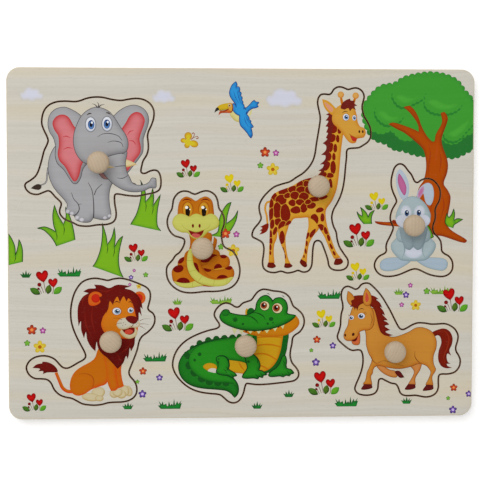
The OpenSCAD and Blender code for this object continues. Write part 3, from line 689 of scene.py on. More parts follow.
def giraffeArt(d):
    chance = random.Random(3)
    skin = dict(reach=2.6)
    for ink, start, end in [("skinDeep", 1.3, 1.2), ("skin", 0.7, 0.6)]:
        d.line([(12, 45.8), (9, 44.8), (8, 41), (9, 36.6), (9.6, 31)], ink, start, end)
    d.fill([(10, 31.6), (4.8, 29.4, 0), (6.2, 28.6), (4.4, 26.8, 0), (5.8, 26.6), (4.2, 24.4, 0),
        (7.6, 25.4), (9.8, 27.6)], "patch")
    # far legs
    hindFar = curve([(16.5, 34), (16.5, 24), (18, 18.6), (20.4, 12.4), (20.9, 5, 0), (24.8, 5, 0),
        (22.6, 10), (21.2, 22), (23, 29), (24, 36)])
    foreFar = curve([(36, 40), (36, 30), (34.8, 24), (32.8, 12), (31, 8, 0), (35, 5.4, 0), (35.4, 12),
        (36.6, 18.6), (39.6, 24), (43, 28.6), (43, 40)])
    for leg in (hindFar, foreFar):
        d.fill(leg, "skin", **skin)
    for patch in [(18.8, 22.6, 1.5, 3.4, 0), (17.6, 16.8, 0.5, 1.7, 12), (19.8, 14.4, 0.5, 1.7, 16),
            (20.9, 10.4, 0.4, 1.3, 8), (38.7, 25.2, 1, 2.5, -32), (35.4, 23.6, 0.7, 2, -18),
            (34.9, 18.6, 0.5, 1.6, 0), (34.2, 13.6, 0.5, 1.5, 8), (33.2, 10.2, 0.4, 0.9, 0)]:
        d.fill(blotch(*patch, chance), "patch", within=[hindFar if patch[0] < 30 else foreFar])
    body = curve([(11, 30), (10.2, 6, 0), (14.2, 6, 0), (13.6, 12), (14, 18), (15.6, 22), (16.4, 27),
        (20, 29.6), (24, 31), (26.4, 34.4), (31, 35), (36, 35.2), (40, 33), (43.4, 27.6), (46.4, 22.6),
        (49.6, 15), (52.6, 8.6, 0), (57, 9.4, 0), (54, 13.4), (49, 27), (47.4, 34), (47.4, 40.4),
        (51, 45.6), (54, 53), (55.4, 61), (57, 79), (58, 87), (59, 94), (55, 102), (51, 99), (50, 91),
        (47, 73), (44.4, 66), (41, 61.8), (36.6, 60.8), (31, 59), (25.6, 55.8), (14, 51), (11.2, 46.4),
        (10.4, 38)])
    d.fill(body, "skin", 3.4)
    # the patches, from the rump over the back to the chest, then the legs and the neck
    for patch in [(13.2, 48.6, 2.1, 2.4, -20), (20, 52.2, 3, 1.8, 12), (26, 53.4, 2.7, 2, 20),
            (31.2, 56.8, 3, 1.6, 36), (35.2, 60, 2.9, 1.1, 20), (35, 56.8, 1.9, 1.9, 0),
            (31, 53.2, 2.6, 1.9, 10), (35.6, 52.8, 1.5, 2.2, 0), (18.4, 46.8, 2.9, 2.7, 0),
            (22.5, 49.5, 1.9, 1.4, 12), (27, 49.5, 2.2, 2.2, 0), (32.9, 48.9, 2.5, 2.2, 0),
            (39.6, 47.1, 3.1, 1.2, 4), (45.4, 48.2, 2.4, 0.9, 18), (25.3, 44.8, 1.9, 1.9, 0),
            (30.5, 45.2, 2.2, 1.5, 0), (33, 41.5, 1.9, 2.6, -24), (38, 43, 2.4, 1.5, 20),
            (27.8, 40.2, 2.7, 1.9, 0), (15.9, 40, 2.2, 4.3, 0), (21.1, 37.9, 2.5, 4.7, 2),
            (11.7, 44.2, 1.3, 2.4, 0), (11.8, 37.2, 1.2, 3.7, -6), (16.2, 32.6, 1.9, 2, 0),
            (12.5, 31, 1.2, 2.5, -8), (19, 30.2, 1.7, 2.6, -34), (22.8, 29.8, 1.6, 3.1, -26),
            (14.4, 26.8, 1, 2.2, -18), (11.6, 24.4, 0.8, 2.4, 0), (11.7, 20.2, 0.9, 1.8, 0),
            (11.5, 16.2, 0.6, 1.8, 0), (11.4, 12.4, 0.5, 1.2, 0), (40.6, 55, 2.4, 2, 0),
            (41, 59, 2.2, 1.4, 20), (45.6, 52.6, 2, 2.4, 0), (39.6, 51, 2, 1.4, 0),
            (43.3, 40.1, 2.2, 1.3, 16), (45, 35.4, 1.1, 2.3, 0), (39.9, 34.2, 2.1, 2.8, 24),
            (37.6, 30, 1, 2.6, 0), (43.9, 29, 2.1, 1.8, -20), (47.3, 26.6, 0.9, 2.3, 20),
            (49.1, 22.2, 0.8, 1.9, 14), (50.8, 16.6, 0.6, 1.8, 24), (52.7, 12.2, 0.6, 1.4, 28),
            (35.6, 45.4, 1.7, 1.3, 20), (49, 80.4, 2.6, 3, 0), (53.2, 80, 1, 2.3, 0),
            (52.3, 74.4, 0.9, 2.1, 0), (48.6, 74.4, 1.7, 2.4, 0), (51.8, 67.4, 1.4, 3.4, 0),
            (47.6, 68.6, 1.6, 2.6, -16), (49.6, 62.4, 2.1, 1.3, 0), (45.8, 62.8, 1.7, 1.3, 20),
            (50.2, 57.4, 1, 2.6, 10), (46, 57.6, 1.7, 1.7, 0), (50.8, 86.6, 2.3, 2.2, 0),
            (54.7, 86, 0.9, 2, 0), (52, 92.4, 2, 2.3, 0), (55.8, 91.4, 1, 1.8, 0)]:
        d.fill(blotch(*patch, chance), "patch", rim=0.32, rimInk="skin", within=[body])
    for hoof in [[(10, 6.4, 0), (13.6, 6.2, 0), (15, 3.8), (12.6, 2.7), (9.4, 3.6)], [(20.8, 5.8, 0),
            (24, 5.8, 0), (25.8, 4.2), (23.6, 2.8), (20.4, 3.2)], [(31.2, 8.6, 0), (34.6, 6.6, 0),
            (35.2, 4), (33.4, 3.2), (30.4, 6.2)], [(53.6, 8.8, 0), (57.2, 9, 0), (58.6, 6.8), (56.6, 4.9),
            (52.6, 5)]]:
        d.fill(hoof, "hoof", 1.2, (78, 12, 4))
    # mane, ear, horns, then the head
    d.fill([(54, 105), (50.6, 103.4), (47, 101.4, 0), (48.8, 100.6), (46.8, 97.6, 0), (48.6, 97.2),
        (46.8, 93.8, 0), (48.4, 93.4), (47.2, 90, 0), (48.4, 89.6), (47, 86.6, 0), (48, 85.8),
        (45, 83, 0), (47.2, 81.6), (47, 78.6), (44, 75.6, 0), (46.8, 75.2), (46.4, 72.4), (43.2, 69.4, 0),
        (45.8, 69.4), (45, 67.4), (42.2, 65.4, 0), (44.2, 65), (41.6, 62.2, 0), (44.6, 62.6), (46.6, 66),
        (48.2, 71), (51.4, 92), (53.4, 99)], "mane")
    d.fill([(51.8, 101), (48, 103.4), (45.6, 107), (44.6, 111.4, 0), (48.6, 110), (52, 107), (54, 104)],
        "skin", 1.6)
    d.fill([(50.6, 103), (47.6, 106), (46, 109.4), (49, 107.8), (51.8, 105)], "ear")
    for stalk, knob in (([(58.4, 106), (57.2, 110), (56.6, 113.4)], (56.6, 114.2)), ([(63.8, 106),
            (65, 109.6), (66, 112.4)], (66.2, 113.6))):
        d.line(stalk, "skinDeep", 2, 1.4)
        d.fill(oval(*knob, 2.1, 2.1), (218, 164, 84), 1.4, "skinDeep")
    d.fill([(51, 100), (52.6, 104.6), (56.6, 107.8), (61.4, 108.2), (65.4, 105.6), (67, 101), (67.6, 97),
        (69.2, 94), (71.8, 92.8), (72.9, 89.8), (71.4, 86.8), (67.6, 86.2), (66.2, 83.4), (63.2, 83.2),
        (60.4, 85.6), (57.8, 89.4), (54.6, 93), (51.6, 96)], "muzzle", 3.2, "skinDeep")
    d.fill([(62.6, 88.4, 0), (65, 87.2), (67.2, 86.4, 0), (66.4, 84.4), (64.4, 84.6)], "mouth")
    d.line([(61.8, 89.2), (64.6, 87.6), (67.6, 86.4), (70.4, 86.8)], "line", 0.3, 0.2, 0.4)
    for x in (68.7, 70.9):
        d.fill(oval(x, 90.6, 0.6, 0.95, 0, 12), "dark")
    fringe = [(56.6, 105.6), (57.6, 108.8), (60, 110.8), (62.6, 111.8, 0), (63, 110.6), (66, 110.4, 0),
        (65.2, 109), (67.4, 107.2, 0), (65.6, 106.8), (66.4, 104.4, 0), (64.2, 105.4), (62.6, 103.6, 0),
        (61.4, 105.6), (59, 104.6, 0)]
    d.fill(fringe, "mane")
    eye(d, 60, 99.8, 2, 2.2, look=(0.2, 0), lid="line")
    eye(d, 65.4, 99.4, 1.3, 1.8, look=(0.1, 0), lid="line")
    d.line([(57.6, 102.6), (59.4, 103.6), (61.2, 103.2)], "dark", 0.2, 0.2, 0.5)


rabbitInks = {"fur": (170, 187, 191), "furDeep": (134, 154, 159), "foot": (168, 186, 199),
    "footDeep": (146, 166, 174), "ear": (182, 193, 206), "pale": (208, 212, 224),
    "paleDeep": (180, 192, 202), "pink": (192, 104, 152), "pinkDeep": (168, 84, 132),
    "line": (116, 130, 134), "nose": (206, 120, 130), "iris": (60, 88, 130), "irisDeep": (34, 54, 92),
    **eyeInks}


def rabbitArt(d):
    fur = dict(reach=3.4, rim=0.15)
    # the folded ear and the upright ear
    d.fill([(27.2, 50), (27, 53.4), (28.8, 57), (31.4, 59.4), (34.2, 60.4), (36.8, 58.8), (38, 54.4),
        (37.6, 49.4), (36, 46), (34, 46.2), (32.4, 48.6), (31, 53.6), (28.8, 50.4)], "ear", 1.4, "foot")
    d.fill([(27.5, 51), (27.6, 54), (29.2, 56.8), (31.4, 58.4), (31.4, 54.6), (28.8, 50.8)], "pink", 1.6,
        (186, 160, 186), side=False)
    d.fill([(15.6, 69.2), (18.4, 66.8), (20.8, 62.6), (21.9, 57.4), (21.4, 52.4), (19.4, 48.6),
        (16.6, 50.4), (14.4, 55), (13.3, 60.4), (13.4, 65.6)], "ear", 1.6, "foot")
    d.fill([(15.4, 66.4), (19.7, 59.2), (20, 54.6), (18.8, 52.2), (16.8, 54.6), (15, 58.8), (14.4, 63)],
        "pink", 1.4, side=False)
    # hind feet
    d.fill([(3.2, 7.2), (3.9, 4.6), (6.8, 3.4), (11.4, 3.6), (16.4, 5.2), (23.4, 10), (20, 11.6),
        (13, 12), (7, 11.4), (4, 9.6)], "foot", 1.8, rim=0.15)
    d.fill([(47.4, 7.6), (46.4, 4.8), (43.4, 3.5), (33.6, 5.8), (26.8, 10.4), (30.4, 11.8), (43.6, 11.5),
        (46.6, 10)], "foot", 1.8, rim=0.15)
    # haunches, body, belly
    d.fill([(25, 29), (18, 27), (13, 23.8), (10.4, 20.4), (11, 16.6), (14, 12.8), (18, 10.2), (32, 10.2),
        (36, 13), (38.8, 17), (39.4, 20.6), (36.8, 23.8), (32, 27)], "fur", **fur)
    d.fill(oval(25, 15.4, 6.1, 4, 0), "pale", 2, side=False)
    d.lines([[(15.4, 24), (18.4, 21), (19.2, 16), (17.6, 12)], [(35, 24), (31.8, 21), (30.9, 16),
        (32.4, 12)]], "furDeep", 0.2, 0.2, 0.7)
    d.fill([(17, 33), (14.6, 30), (13.6, 26.6), (15, 23), (18.4, 21.4), (20.4, 18), (22.4, 17),
        (24.9, 19, 0), (27.6, 17), (29.8, 18.2), (31.4, 21.4), (34.8, 23), (36, 26.6), (34.6, 30.4),
        (32.6, 33)], "fur", 4, rim=0.15)
    for side in (-1, 1):
        arm = [(8.8, 32), (8.4, 26), (6.6, 20.6), (4.8, 17.6), (2.6, 17.1), (0.7, 18.2), (0, 20),
            (0.2, 26), (1, 33)]
        d.fill([(24.9 + side * x, y) for x, y in arm], (146, 163, 169), 2.2, (122, 140, 147))
    d.line([(24.9, 19.4), (24.9, 23), (24, 26)], "furDeep", 0.8, 0.2)
    for x in (21.6, 23.2, 26.6, 28.2):
        d.line([(x, 17.6), (x, 18.8)], "furDeep", 0.25)
    # head and pale cheeks
    d.fill([(18.4, 49.4), (25, 51.6), (31.6, 47.8), (35.8, 40.6), (35.6, 36.6), (33, 32.6), (29, 30.4),
        (24.6, 29.8), (20, 30.4), (16, 33), (13.5, 37), (14, 41.6)], "fur", 3, rim=0.15)
    for side, x in ((-1, 20), (1, 28.6)):
        d.fill(oval(x, 41.6, 3.9, 4.6, -14 * side), "pale", 1.6, "fur", side=False)
        d.fill(oval(24.6 + side * 5.6, 35.4, 5.8, 4.2, 16 * side), "pale", 1.6)
    eye(d, 20.1, 41, 1.9, 2.7, look=(0.3, -0.2), iris=0.74)
    eye(d, 28.5, 41.2, 1.9, 2.7, look=(-0.2, -0.2), iris=0.74)
    d.fill([(23, 38.2), (24.6, 38.8), (26.2, 38.2), (25.4, 37), (24.6, 36.4)], "nose")
    d.line([(24.6, 36.4), (24.6, 34.6)], "line", 0.3)
    d.line([(21.8, 35), (23.2, 34), (24.6, 34.8), (26, 34), (27.4, 35)], "line", 0.2, 0.2, 0.4)


lionInks = {"face": (210, 120, 22), "skin": (196, 106, 10), "skinDeep": (206, 66, 12),
    "mane": (108, 16, 10), "maneDeep": (80, 6, 4), "maneLight": (124, 26, 16), "paw": (208, 194, 154),
    "pawDeep": (182, 152, 92), "ear": (198, 40, 20), "earRim": (208, 98, 26), "nose": (112, 18, 16),
    "mouth": (120, 14, 10), "tongue": (204, 70, 50), "muzzle": (206, 200, 180), "line": (150, 66, 12),
    "dark": (88, 34, 14), "iris": (110, 140, 166), "irisDeep": (60, 84, 110), **eyeInks}


def lionArt(d):
    skin = dict(reach=3.6)
    pawRim = dict(rim=0.15, rimInk="pawDeep")
    d.line([(29, 8.6), (25.6, 8.8), (22.6, 11), (20.6, 15.4), (18.4, 21)], "skinDeep", 2.2, 1.9, 2.2)
    d.line([(29, 8.9), (25.8, 9.1), (22.9, 11.3), (20.9, 15.4), (18.6, 21)], "skin", 1, 0.8, 1)
    d.fill([(3.4, 24, 0), (6, 26.2), (9.6, 27, 0), (9.8, 28, 0), (12.6, 27.8), (16, 26.4), (18.6, 24),
        (19.4, 21.4), (12.8, 21), (10, 20, 0), (10.2, 21.8), (7, 21.8, 0), (8.2, 23.4)], "mane", 1.6)
    # hind paw, body, haunch
    d.ovals([(45.2, 7.6, 4.4, 3.4, 20), (40.6, 4.8, 5.8, 2.5, -6), (46, 4, 2.6, 1.8)], "paw", 1.5, **pawRim)
    d.fill([(27.4, 15), (27.3, 10.4), (29.2, 7), (32.8, 5.8), (37, 7.2), (41, 9.8), (46, 11.6),
        (50.6, 13.6), (54, 22), (58, 34), (50, 42), (45.4, 36), (42.6, 29.4), (33, 23.6), (29.4, 20)],
        "skin", **skin)
    d.fill([(27.8, 10), (30, 7), (33, 6.2), (40.6, 10), (42.4, 14), (41.4, 18), (37.6, 20), (32.6, 19.6),
        (29, 17.6)], "skin", 3, (196, 92, 8))
    d.line([(33, 19.8), (38, 20), (41.6, 18), (42.6, 14), (41.4, 10.6)], "line", 0.15, 0.15, 0.45)
    # right then left front leg with their paws
    d.ovals([(64.6, 8.6, 2.4, 3.4, 20), (62.4, 9, 2.6, 3.4, 20)], "paw", 1.4, **pawRim)
    d.fill([(56, 34), (56.4, 24), (57.4, 16), (58, 10.6), (61.8, 11.8, 0), (60.6, 16.6), (60, 23),
        (61.4, 32)], "skin", **skin)
    d.ovals([(60.2, 6.4, 2.9, 2.5), (55.6, 7, 2.9, 2.6), (57.6, 7.8, 3, 2.6)], "paw", 1.4, **pawRim)
    d.fill([(48, 36), (49.6, 27), (51.4, 13.6), (53.4, 8.8, 0), (56.4, 9), (58.4, 11, 0), (56.8, 22),
        (57.6, 34)], "skin", **skin)
    # mane with locks, ears behind its edge
    d.fill(oval(71.9, 68.8, 4, 4.2), "earRim", 1.2, "skinDeep")
    d.fill(oval(71.6, 68.6, 2.5, 2.8), "ear")
    d.fill([(36, 73, 0), (39.4, 74.8), (44, 75.2), (43, 77.4, 0), (48, 77), (52.6, 75.2), (57.4, 77.2),
        (62.6, 77), (66.4, 76, 0), (62.6, 75), (67, 73.6), (70.6, 70.8), (73, 66.8), (74, 61.4, 0),
        (72.6, 62.8), (73.4, 57, 0), (71.6, 59.4), (71.4, 55.4), (70.6, 48), (69, 42.6), (68.6, 38.6),
        (66.4, 34.2, 0), (65.6, 36.6), (65, 32), (64.2, 29.4, 0), (63.2, 31.4), (61.4, 26.8),
        (57.8, 23, 0), (51.4, 30), (47.4, 33.4), (45.2, 37), (44.4, 40.6), (43.6, 34.4, 0), (40.6, 37.6),
        (38.4, 42), (37.6, 47), (36.4, 42.8, 0), (34.6, 48.4), (34.4, 54), (33, 50.6, 0), (32.4, 57),
        (32.8, 64), (35.6, 69.4), (39.4, 72, 0)], "mane", 5)
    d.lines([[(37, 60), (37.6, 52), (41, 44)], [(42, 64), (41.4, 55), (43.6, 46)], [(60, 27.6),
        (57, 33), (52, 36)], [(66, 39), (62.6, 35), (58.6, 33)], [(46, 74), (51, 73), (56, 75)],
        [(66, 73), (61.4, 73.6), (58, 72)], [(35.4, 64), (36.4, 69), (40, 71)]], "maneLight", 0.2, 0.2, 1.1)
    d.fill([(39.2, 67.8), (40, 64.4), (43, 63.8), (46.4, 65.4), (48.8, 69.4), (46.6, 72.2), (43, 72.9),
        (40.2, 71.2)], "earRim", 1.4, "skinDeep")
    d.fill(oval(44, 68.6, 2.8, 2.8), "ear", 1, (176, 20, 10))
    d.fill([(47, 73), (48, 70.4), (46.2, 69.2, 0), (47, 66), (45.8, 64.2, 0), (48, 62), (50, 66),
        (51, 72)], "mane")
    # face
    d.fill([(50.6, 60), (51.6, 66), (56, 70.4), (62, 70.8), (67, 67), (69.6, 57.4), (70.8, 52),
        (70.4, 46.6), (67, 43), (60, 42.6), (53.4, 43.4), (49.4, 46.6), (47.4, 51.4), (48.6, 56.6)],
        "face", 2.6, "skinDeep")
    d.fill([(59.4, 47), (61.6, 43.8), (65.4, 42.4), (69.4, 44), (70.6, 47.4), (69, 49.6), (63, 49.6)],
        "paw", 1.3)
    d.fill([(60.2, 49, 0), (68.8, 50, 0), (68.6, 46.8), (66, 45), (62.6, 46)], "mouth")
    d.fill(oval(65, 46.9, 2.7, 1.6, 8), "tongue")
    d.fill([(57.2, 51.4), (58.6, 54.4), (62.4, 56), (68, 55.6), (71.8, 53.4), (72, 50.8), (69.6, 49.4),
        (66.4, 50, 0), (63, 48.6), (59, 48.8)], "muzzle", 1.6, "pawDeep")
    d.fill([(63, 55.6), (64.4, 57), (68.4, 57), (71, 55.2), (70, 52.8), (68, 52), (65, 53.2)], "nose", 1,
        (80, 8, 8))
    d.line([(68, 52), (67.4, 50.8), (66.4, 50)], "dark", 0.35)
    d.line([(55.8, 65.6), (57.4, 66.6), (59.6, 65.4)], "dark", 0.2, 0.2, 0.7)
    d.line([(64.6, 65.8), (66.2, 66.4), (67.4, 65.2)], "dark", 0.2, 0.2, 0.6)
    eye(d, 57.4, 60.2, 2.7, 2.3, look=(0.3, -0.1), lid="line")
    eye(d, 66.3, 60.8, 1.9, 1.8, look=(0.1, -0.1), lid="line")
    # forelock over the brow, whiskers last
    d.fill([(49.4, 66), (50.6, 59, 0), (52, 62), (53, 66.8), (55, 64.2, 0), (56, 67), (57.8, 69.6),
        (59.4, 65.8, 0), (61.8, 69.8), (63.6, 66.4, 0), (65, 68.6), (67.4, 65.4), (68.6, 61.4, 0),
        (70.4, 66), (69, 71), (62, 74), (54, 73)], "mane")
    d.lines([[(72, 54), (75, 55.2), (79, 55.2)], [(72.4, 52), (75.4, 52), (78, 51.4)], [(72, 50.6),
        (74, 49.6), (76, 48.2)], [(60.6, 54.8), (58, 55.8), (55, 55.6)], [(60.4, 52.6), (58, 52.4),
        (56, 51.4)]], "dark", 0.3, 0.1)
    for x, y in [(61.6, 52.8), (62.8, 51.6), (61.2, 51), (70, 51.8), (70.8, 52.6)]:
        d.fill(oval(x, y, 0.25, 0.25, 0, 8), "dark")


crocodileInks = {"skin": (38, 138, 30), "skinDeep": (16, 92, 24), "back": (28, 118, 30),
    "backDeep": (12, 74, 18), "ridge": (20, 84, 26), "belly": (200, 152, 22), "bellyDeep": (190, 112, 8),
    "jaw": (200, 124, 12), "jawDeep": (184, 96, 4), "tooth": (206, 208, 150), "line": (10, 56, 20),
    "mouth": (96, 20, 10), "eyeWhite": (214, 206, 160), "iris": (160, 70, 30), "irisDeep": (112, 38, 14),
    "pupil": (30, 8, 6), "glint": (236, 232, 220)}


def crocodileArt(d):
    skin = dict(reach=3, rim=0.65)
    # ridge along the back, then the body curling into the tail
    d.line([(7.6, 32), (17, 38), (28, 40.8), (38, 41.4), (43, 42)], "ridge", 1.2, 1.6, 1.8)
    for x, y, r in [(12.6, 35.2, 1.8), (17, 38.4, 1.9), (22.6, 40.2, 2), (27.8, 41, 2), (33, 41.4, 2.1),
            (38.2, 41.6, 2.2), (42.6, 42.6, 1.6)]:
        d.fill(oval(x, y, r, r * 1.1), "ridge", rim=0.15)
    d.fill([(41, 42), (30, 41), (20, 38.6), (12.6, 35.4), (7, 31.4), (3.9, 25.6), (4.2, 19.6), (7, 14.8),
        (12, 11.4), (19, 9.6), (33, 8.2), (37, 6.4), (39.7, 3.4, 0), (41.6, 6), (41.8, 10), (40.4, 13.4),
        (37.4, 16.4), (24, 20), (16, 26), (22, 34)], "back", 3, rim=0.55)
    d.ovals([(8.8, 30.8, 1.9, 2.6, 20), (10, 24.2, 2.2, 2.6), (13.5, 19.4, 2.6, 2.3, -40),
        (18.3, 15.3, 2.6, 2.2, -25), (23.2, 13.2, 2.4, 2, -8), (28.8, 12.5, 2.4, 1.9),
        (34, 12.2, 2.2, 1.7)], "ridge")
    # warm underside seen between the legs
    d.fill([(34, 28.4), (41, 29), (46.4, 28), (50, 24), (48.6, 18.8), (40, 19.2), (34, 20)], "belly", 1.8)
    d.line([(42, 26.6), (44, 23), (46.4, 20)], "bellyDeep", 0.3, 0.3, 0.9)
    d.fill([(55, 46), (45, 43), (36, 41), (26, 39.6), (18, 37.4), (12.6, 33.6), (10.2, 28.4), (11, 23),
        (14.4, 18.6), (20, 15), (27, 13.2), (38.6, 12.2), (40.6, 9.6, 0), (40.2, 13.2), (36.8, 16.2),
        (32, 18), (30.4, 19.4, 0), (31, 22.4), (31, 25), (32.4, 28.2), (37, 27.6), (46, 26), (52, 22),
        (58, 34)], "skin", 3, rim=0.2, rimInk="backDeep")
    d.fill([(19.2, 23.2), (21, 25.2), (24.6, 25.6), (27.6, 24.2), (28.2, 21.6), (27.4, 19.6),
        (22.4, 20.6)], "belly", 1.4)
    d.fill([(22.2, 20.6), (24.2, 22.2), (27.6, 21.8), (27.4, 19.4), (25, 19.6)], (206, 201, 188))
    # hind leg and foot
    d.fill([(28, 29), (32, 30.2), (35.2, 28), (36, 24), (35.6, 21.6), (39.4, 19), (40.8, 17.4, 0),
        (39, 17), (38.6, 16, 0), (35.6, 17.6), (30, 18.4), (28, 20), (29.2, 24)], "skin", 2.4, rim=0.55)
    d.line([(29.6, 30), (33.4, 29.6), (35.6, 26.4), (35.8, 23), (34.8, 21)], "line", 0.15, 0.3, 0.55)
    # chest with its bands
    d.fill([(54, 46), (73.6, 45), (73.6, 38), (72.6, 32), (70, 26), (66, 21.4), (60, 19), (55, 19.2),
        (50, 26)], "skinDeep", rim=0.35)
    chest = curve([(55, 46), (70.2, 45), (70.2, 38), (69, 32), (66.4, 26), (62.4, 21.6), (57, 19.8),
        (55, 21.6), (55, 26), (52, 31), (54, 38)])
    d.fill(chest, "belly", 2.6)
    d.lines([[(53, 36.4), (58, 37.4), (64, 37.2), (71, 35.4)], [(51, 30.8), (57, 31.6), (62, 30.4),
        (68, 26.6)], [(54, 42), (62, 42.6), (71, 42)], [(54, 24), (58, 23.2), (62, 20.8)]], "bellyDeep",
        0.7, 0.7, 1.1, within=[chest])
    # near and far front legs
    d.fill([(72, 30), (73, 26.6), (72.6, 22.6), (74, 21.4), (76, 20.8), (77.8, 18.8, 0), (76, 18.4),
        (75, 17.2, 0), (73, 17.6), (71, 16.6, 0), (69, 17.2), (64, 16.8), (61.9, 17.4), (63.4, 19.8),
        (66.4, 21.8), (69, 25), (70.6, 29)], "skin", **skin)
    d.fill([(46.6, 31), (51, 31), (54.4, 28), (55.8, 24), (55.2, 20.8), (57.4, 20), (60.4, 18, 0),
        (58, 17.6), (57.6, 16.2, 0), (55.4, 16.8), (54.6, 15.4, 0), (52, 16), (47, 15.8), (44.8, 16.6),
        (48, 22), (47.4, 26)], "skin", **skin)
    for claw in [(77.8, 18.8), (75, 17.2), (71, 16.6), (60.4, 18), (57.6, 16.2), (54.6, 15.4),
            (40.8, 17.4)]:
        d.fill([(claw[0] - 0.9, claw[1] + 0.6), (claw[0] + 0.3, claw[1] - 0.3, 0), (claw[0] - 0.9,
            claw[1] - 0.3)], "line")
    d.lines([[(70.4, 27.6), (71.7, 25.8), (71.4, 23.6)], [(72.6, 24.8), (73.3, 23.2), (72.8, 21.8)],
        [(53, 29.4), (54.4, 27.6), (54.4, 25.4)], [(33.6, 23.4), (35, 22.2), (35.4, 20.6)],
        [(32.4, 21.6), (33.8, 20.6), (34.4, 19.2)], [(73.4, 20.2), (74.6, 19), (75, 17.6)],
        [(69.8, 19), (70.8, 18), (71, 17)], [(56, 19.2), (57.2, 17.8), (57.6, 16.6)], [(52.8, 18.2),
        (54.2, 17), (54.6, 15.8)], [(37, 18.8), (38.2, 17.6), (38.6, 16.4)]], "line", 0.15, 0.25, 0.45)
    for x, y, r in [(17, 31.4, 1.2), (13.8, 27.6, 0.9), (28.8, 26, 0.9), (29.4, 28.2, 0.5),
            (48.6, 26.4, 0.9)]:
        d.fill(oval(x, y, r, r, 0, 14), "ridge")
    # lower jaw, teeth, upper jaw with the eye bumps
    d.fill([(44.4, 46.4), (50, 44), (57, 42.8), (66, 42.6), (73, 43.6), (78, 46.4), (81.4, 50.4),
        (81, 54), (78, 56.8), (74, 55), (60, 48)], "jaw", 2.6)
    for x, y, wide, tall in [(39.6, 48, 3.4, 3.4), (44, 47, 3, 2.8), (49.8, 46.9, 3.8, 2.4),
            (55.2, 46.8, 3.8, 2.4), (60.4, 47.4, 3.8, 2.6), (65.6, 48.6, 3.8, 2.6), (70.4, 50.4, 3.6, 2.8)]:
        lean = 0 if x < 60 else (x - 58) * 0.035
        d.fill(np.array([(x - wide / 2, y), (x + wide / 2, y + lean * 2), (x + lean, y - tall)]), "tooth",
            rim=0.12, rimInk=(160, 140, 60))
    for x, y in [(47, 46.5), (52.5, 46.6), (57.8, 46.8), (62.9, 47.8), (68, 49.2), (73, 51.8)]:
        d.fill(oval(x, y - 0.2, 0.6, 0.75, 0, 12), "mouth")
    d.fill([(47.6, 61), (46.4, 59), (47, 56.4), (50, 56)], "belly")
    d.fill(oval(50, 58.4, 2.4, 2.8, -14), "skinDeep", rim=0.15)
    d.fill([(30.3, 55.4), (31.2, 58), (33, 59.8), (35.4, 59.6), (36.6, 57.8), (46, 56.2), (50.4, 57.6),
        (53.2, 60), (54.2, 64.6), (56.8, 68), (60.2, 69), (63, 67), (64.2, 65, 0), (66, 67), (69.6, 67.4),
        (72.6, 65), (73.6, 61), (73.4, 57.4), (79, 56, 0), (75.4, 53), (70, 50.2), (62, 47.8), (53, 46.8),
        (44, 47.6), (36.4, 50), (32, 52.6)], "skin", 3.4, rim=0.65)
    d.lines([[(46, 56.2), (50, 55.6), (53.6, 53), (54.8, 51)], [(50, 58), (54, 58), (58, 56),
        (59.4, 53.6)]], "line", 0.2, 0.2, 0.7)
    d.fill([(31.2, 57.4), (32.6, 59.5), (35, 59.4), (36.2, 57.9), (35.2, 56.4), (33, 56)], "back", 1,
        "ridge")
    d.fill(oval(39.9, 53.8, 2, 1.9, 0, 16), "skinDeep", 0.8, "skin", side=False)
    for x, y, rx, ry in [(39.9, 53.1, 0.8, 0.7), (45, 50.8, 0.8, 0.8), (63.2, 54, 1.5, 1.3),
            (61, 51, 0.8, 0.8), (64.4, 51.6, 0.6, 0.5)]:
        d.fill(oval(x, y, rx, ry, 0, 14), "ridge")
    for x, y, r, look in [(59, 62.6, 2.9, (-0.5, 0.2)), (67.2, 61, 3.2, (-0.6, 0.1))]:
        d.fill(oval(x, y, r, r), "eyeWhite", rim=0.4)
        d.fill(oval(x + look[0], y + look[1], r * 0.72, r * 0.74), "iris", 1)
        d.fill(oval(x + look[0] - 0.2, y + look[1] + 0.2, r * 0.4, r * 0.42), "pupil")
        d.fill(oval(x + look[0] + 0.5, y + look[1] + 0.8, r * 0.17, r * 0.17, 0, 10), "glint")
    d.lines([[(60.4, 70.6), (61.4, 70.4), (62.2, 69.6)], [(70, 69), (71, 68.8), (71.8, 68)]], "line", 0.2,
        0.2, 0.5)


horseInks = {"coat": (204, 138, 52), "coatDeep": (186, 104, 28), "far": (204, 134, 70),
    "mane": (122, 26, 8), "maneDeep": (92, 12, 10), "hoof": (96, 22, 20), "hoofDeep": (66, 10, 12),
    "line": (118, 60, 14), "ear": (200, 76, 58), "tongue": (206, 102, 60), "mouth": (92, 14, 8),
    "dark": (74, 20, 6), "iris": (70, 90, 120), "irisDeep": (36, 54, 90), **eyeInks}


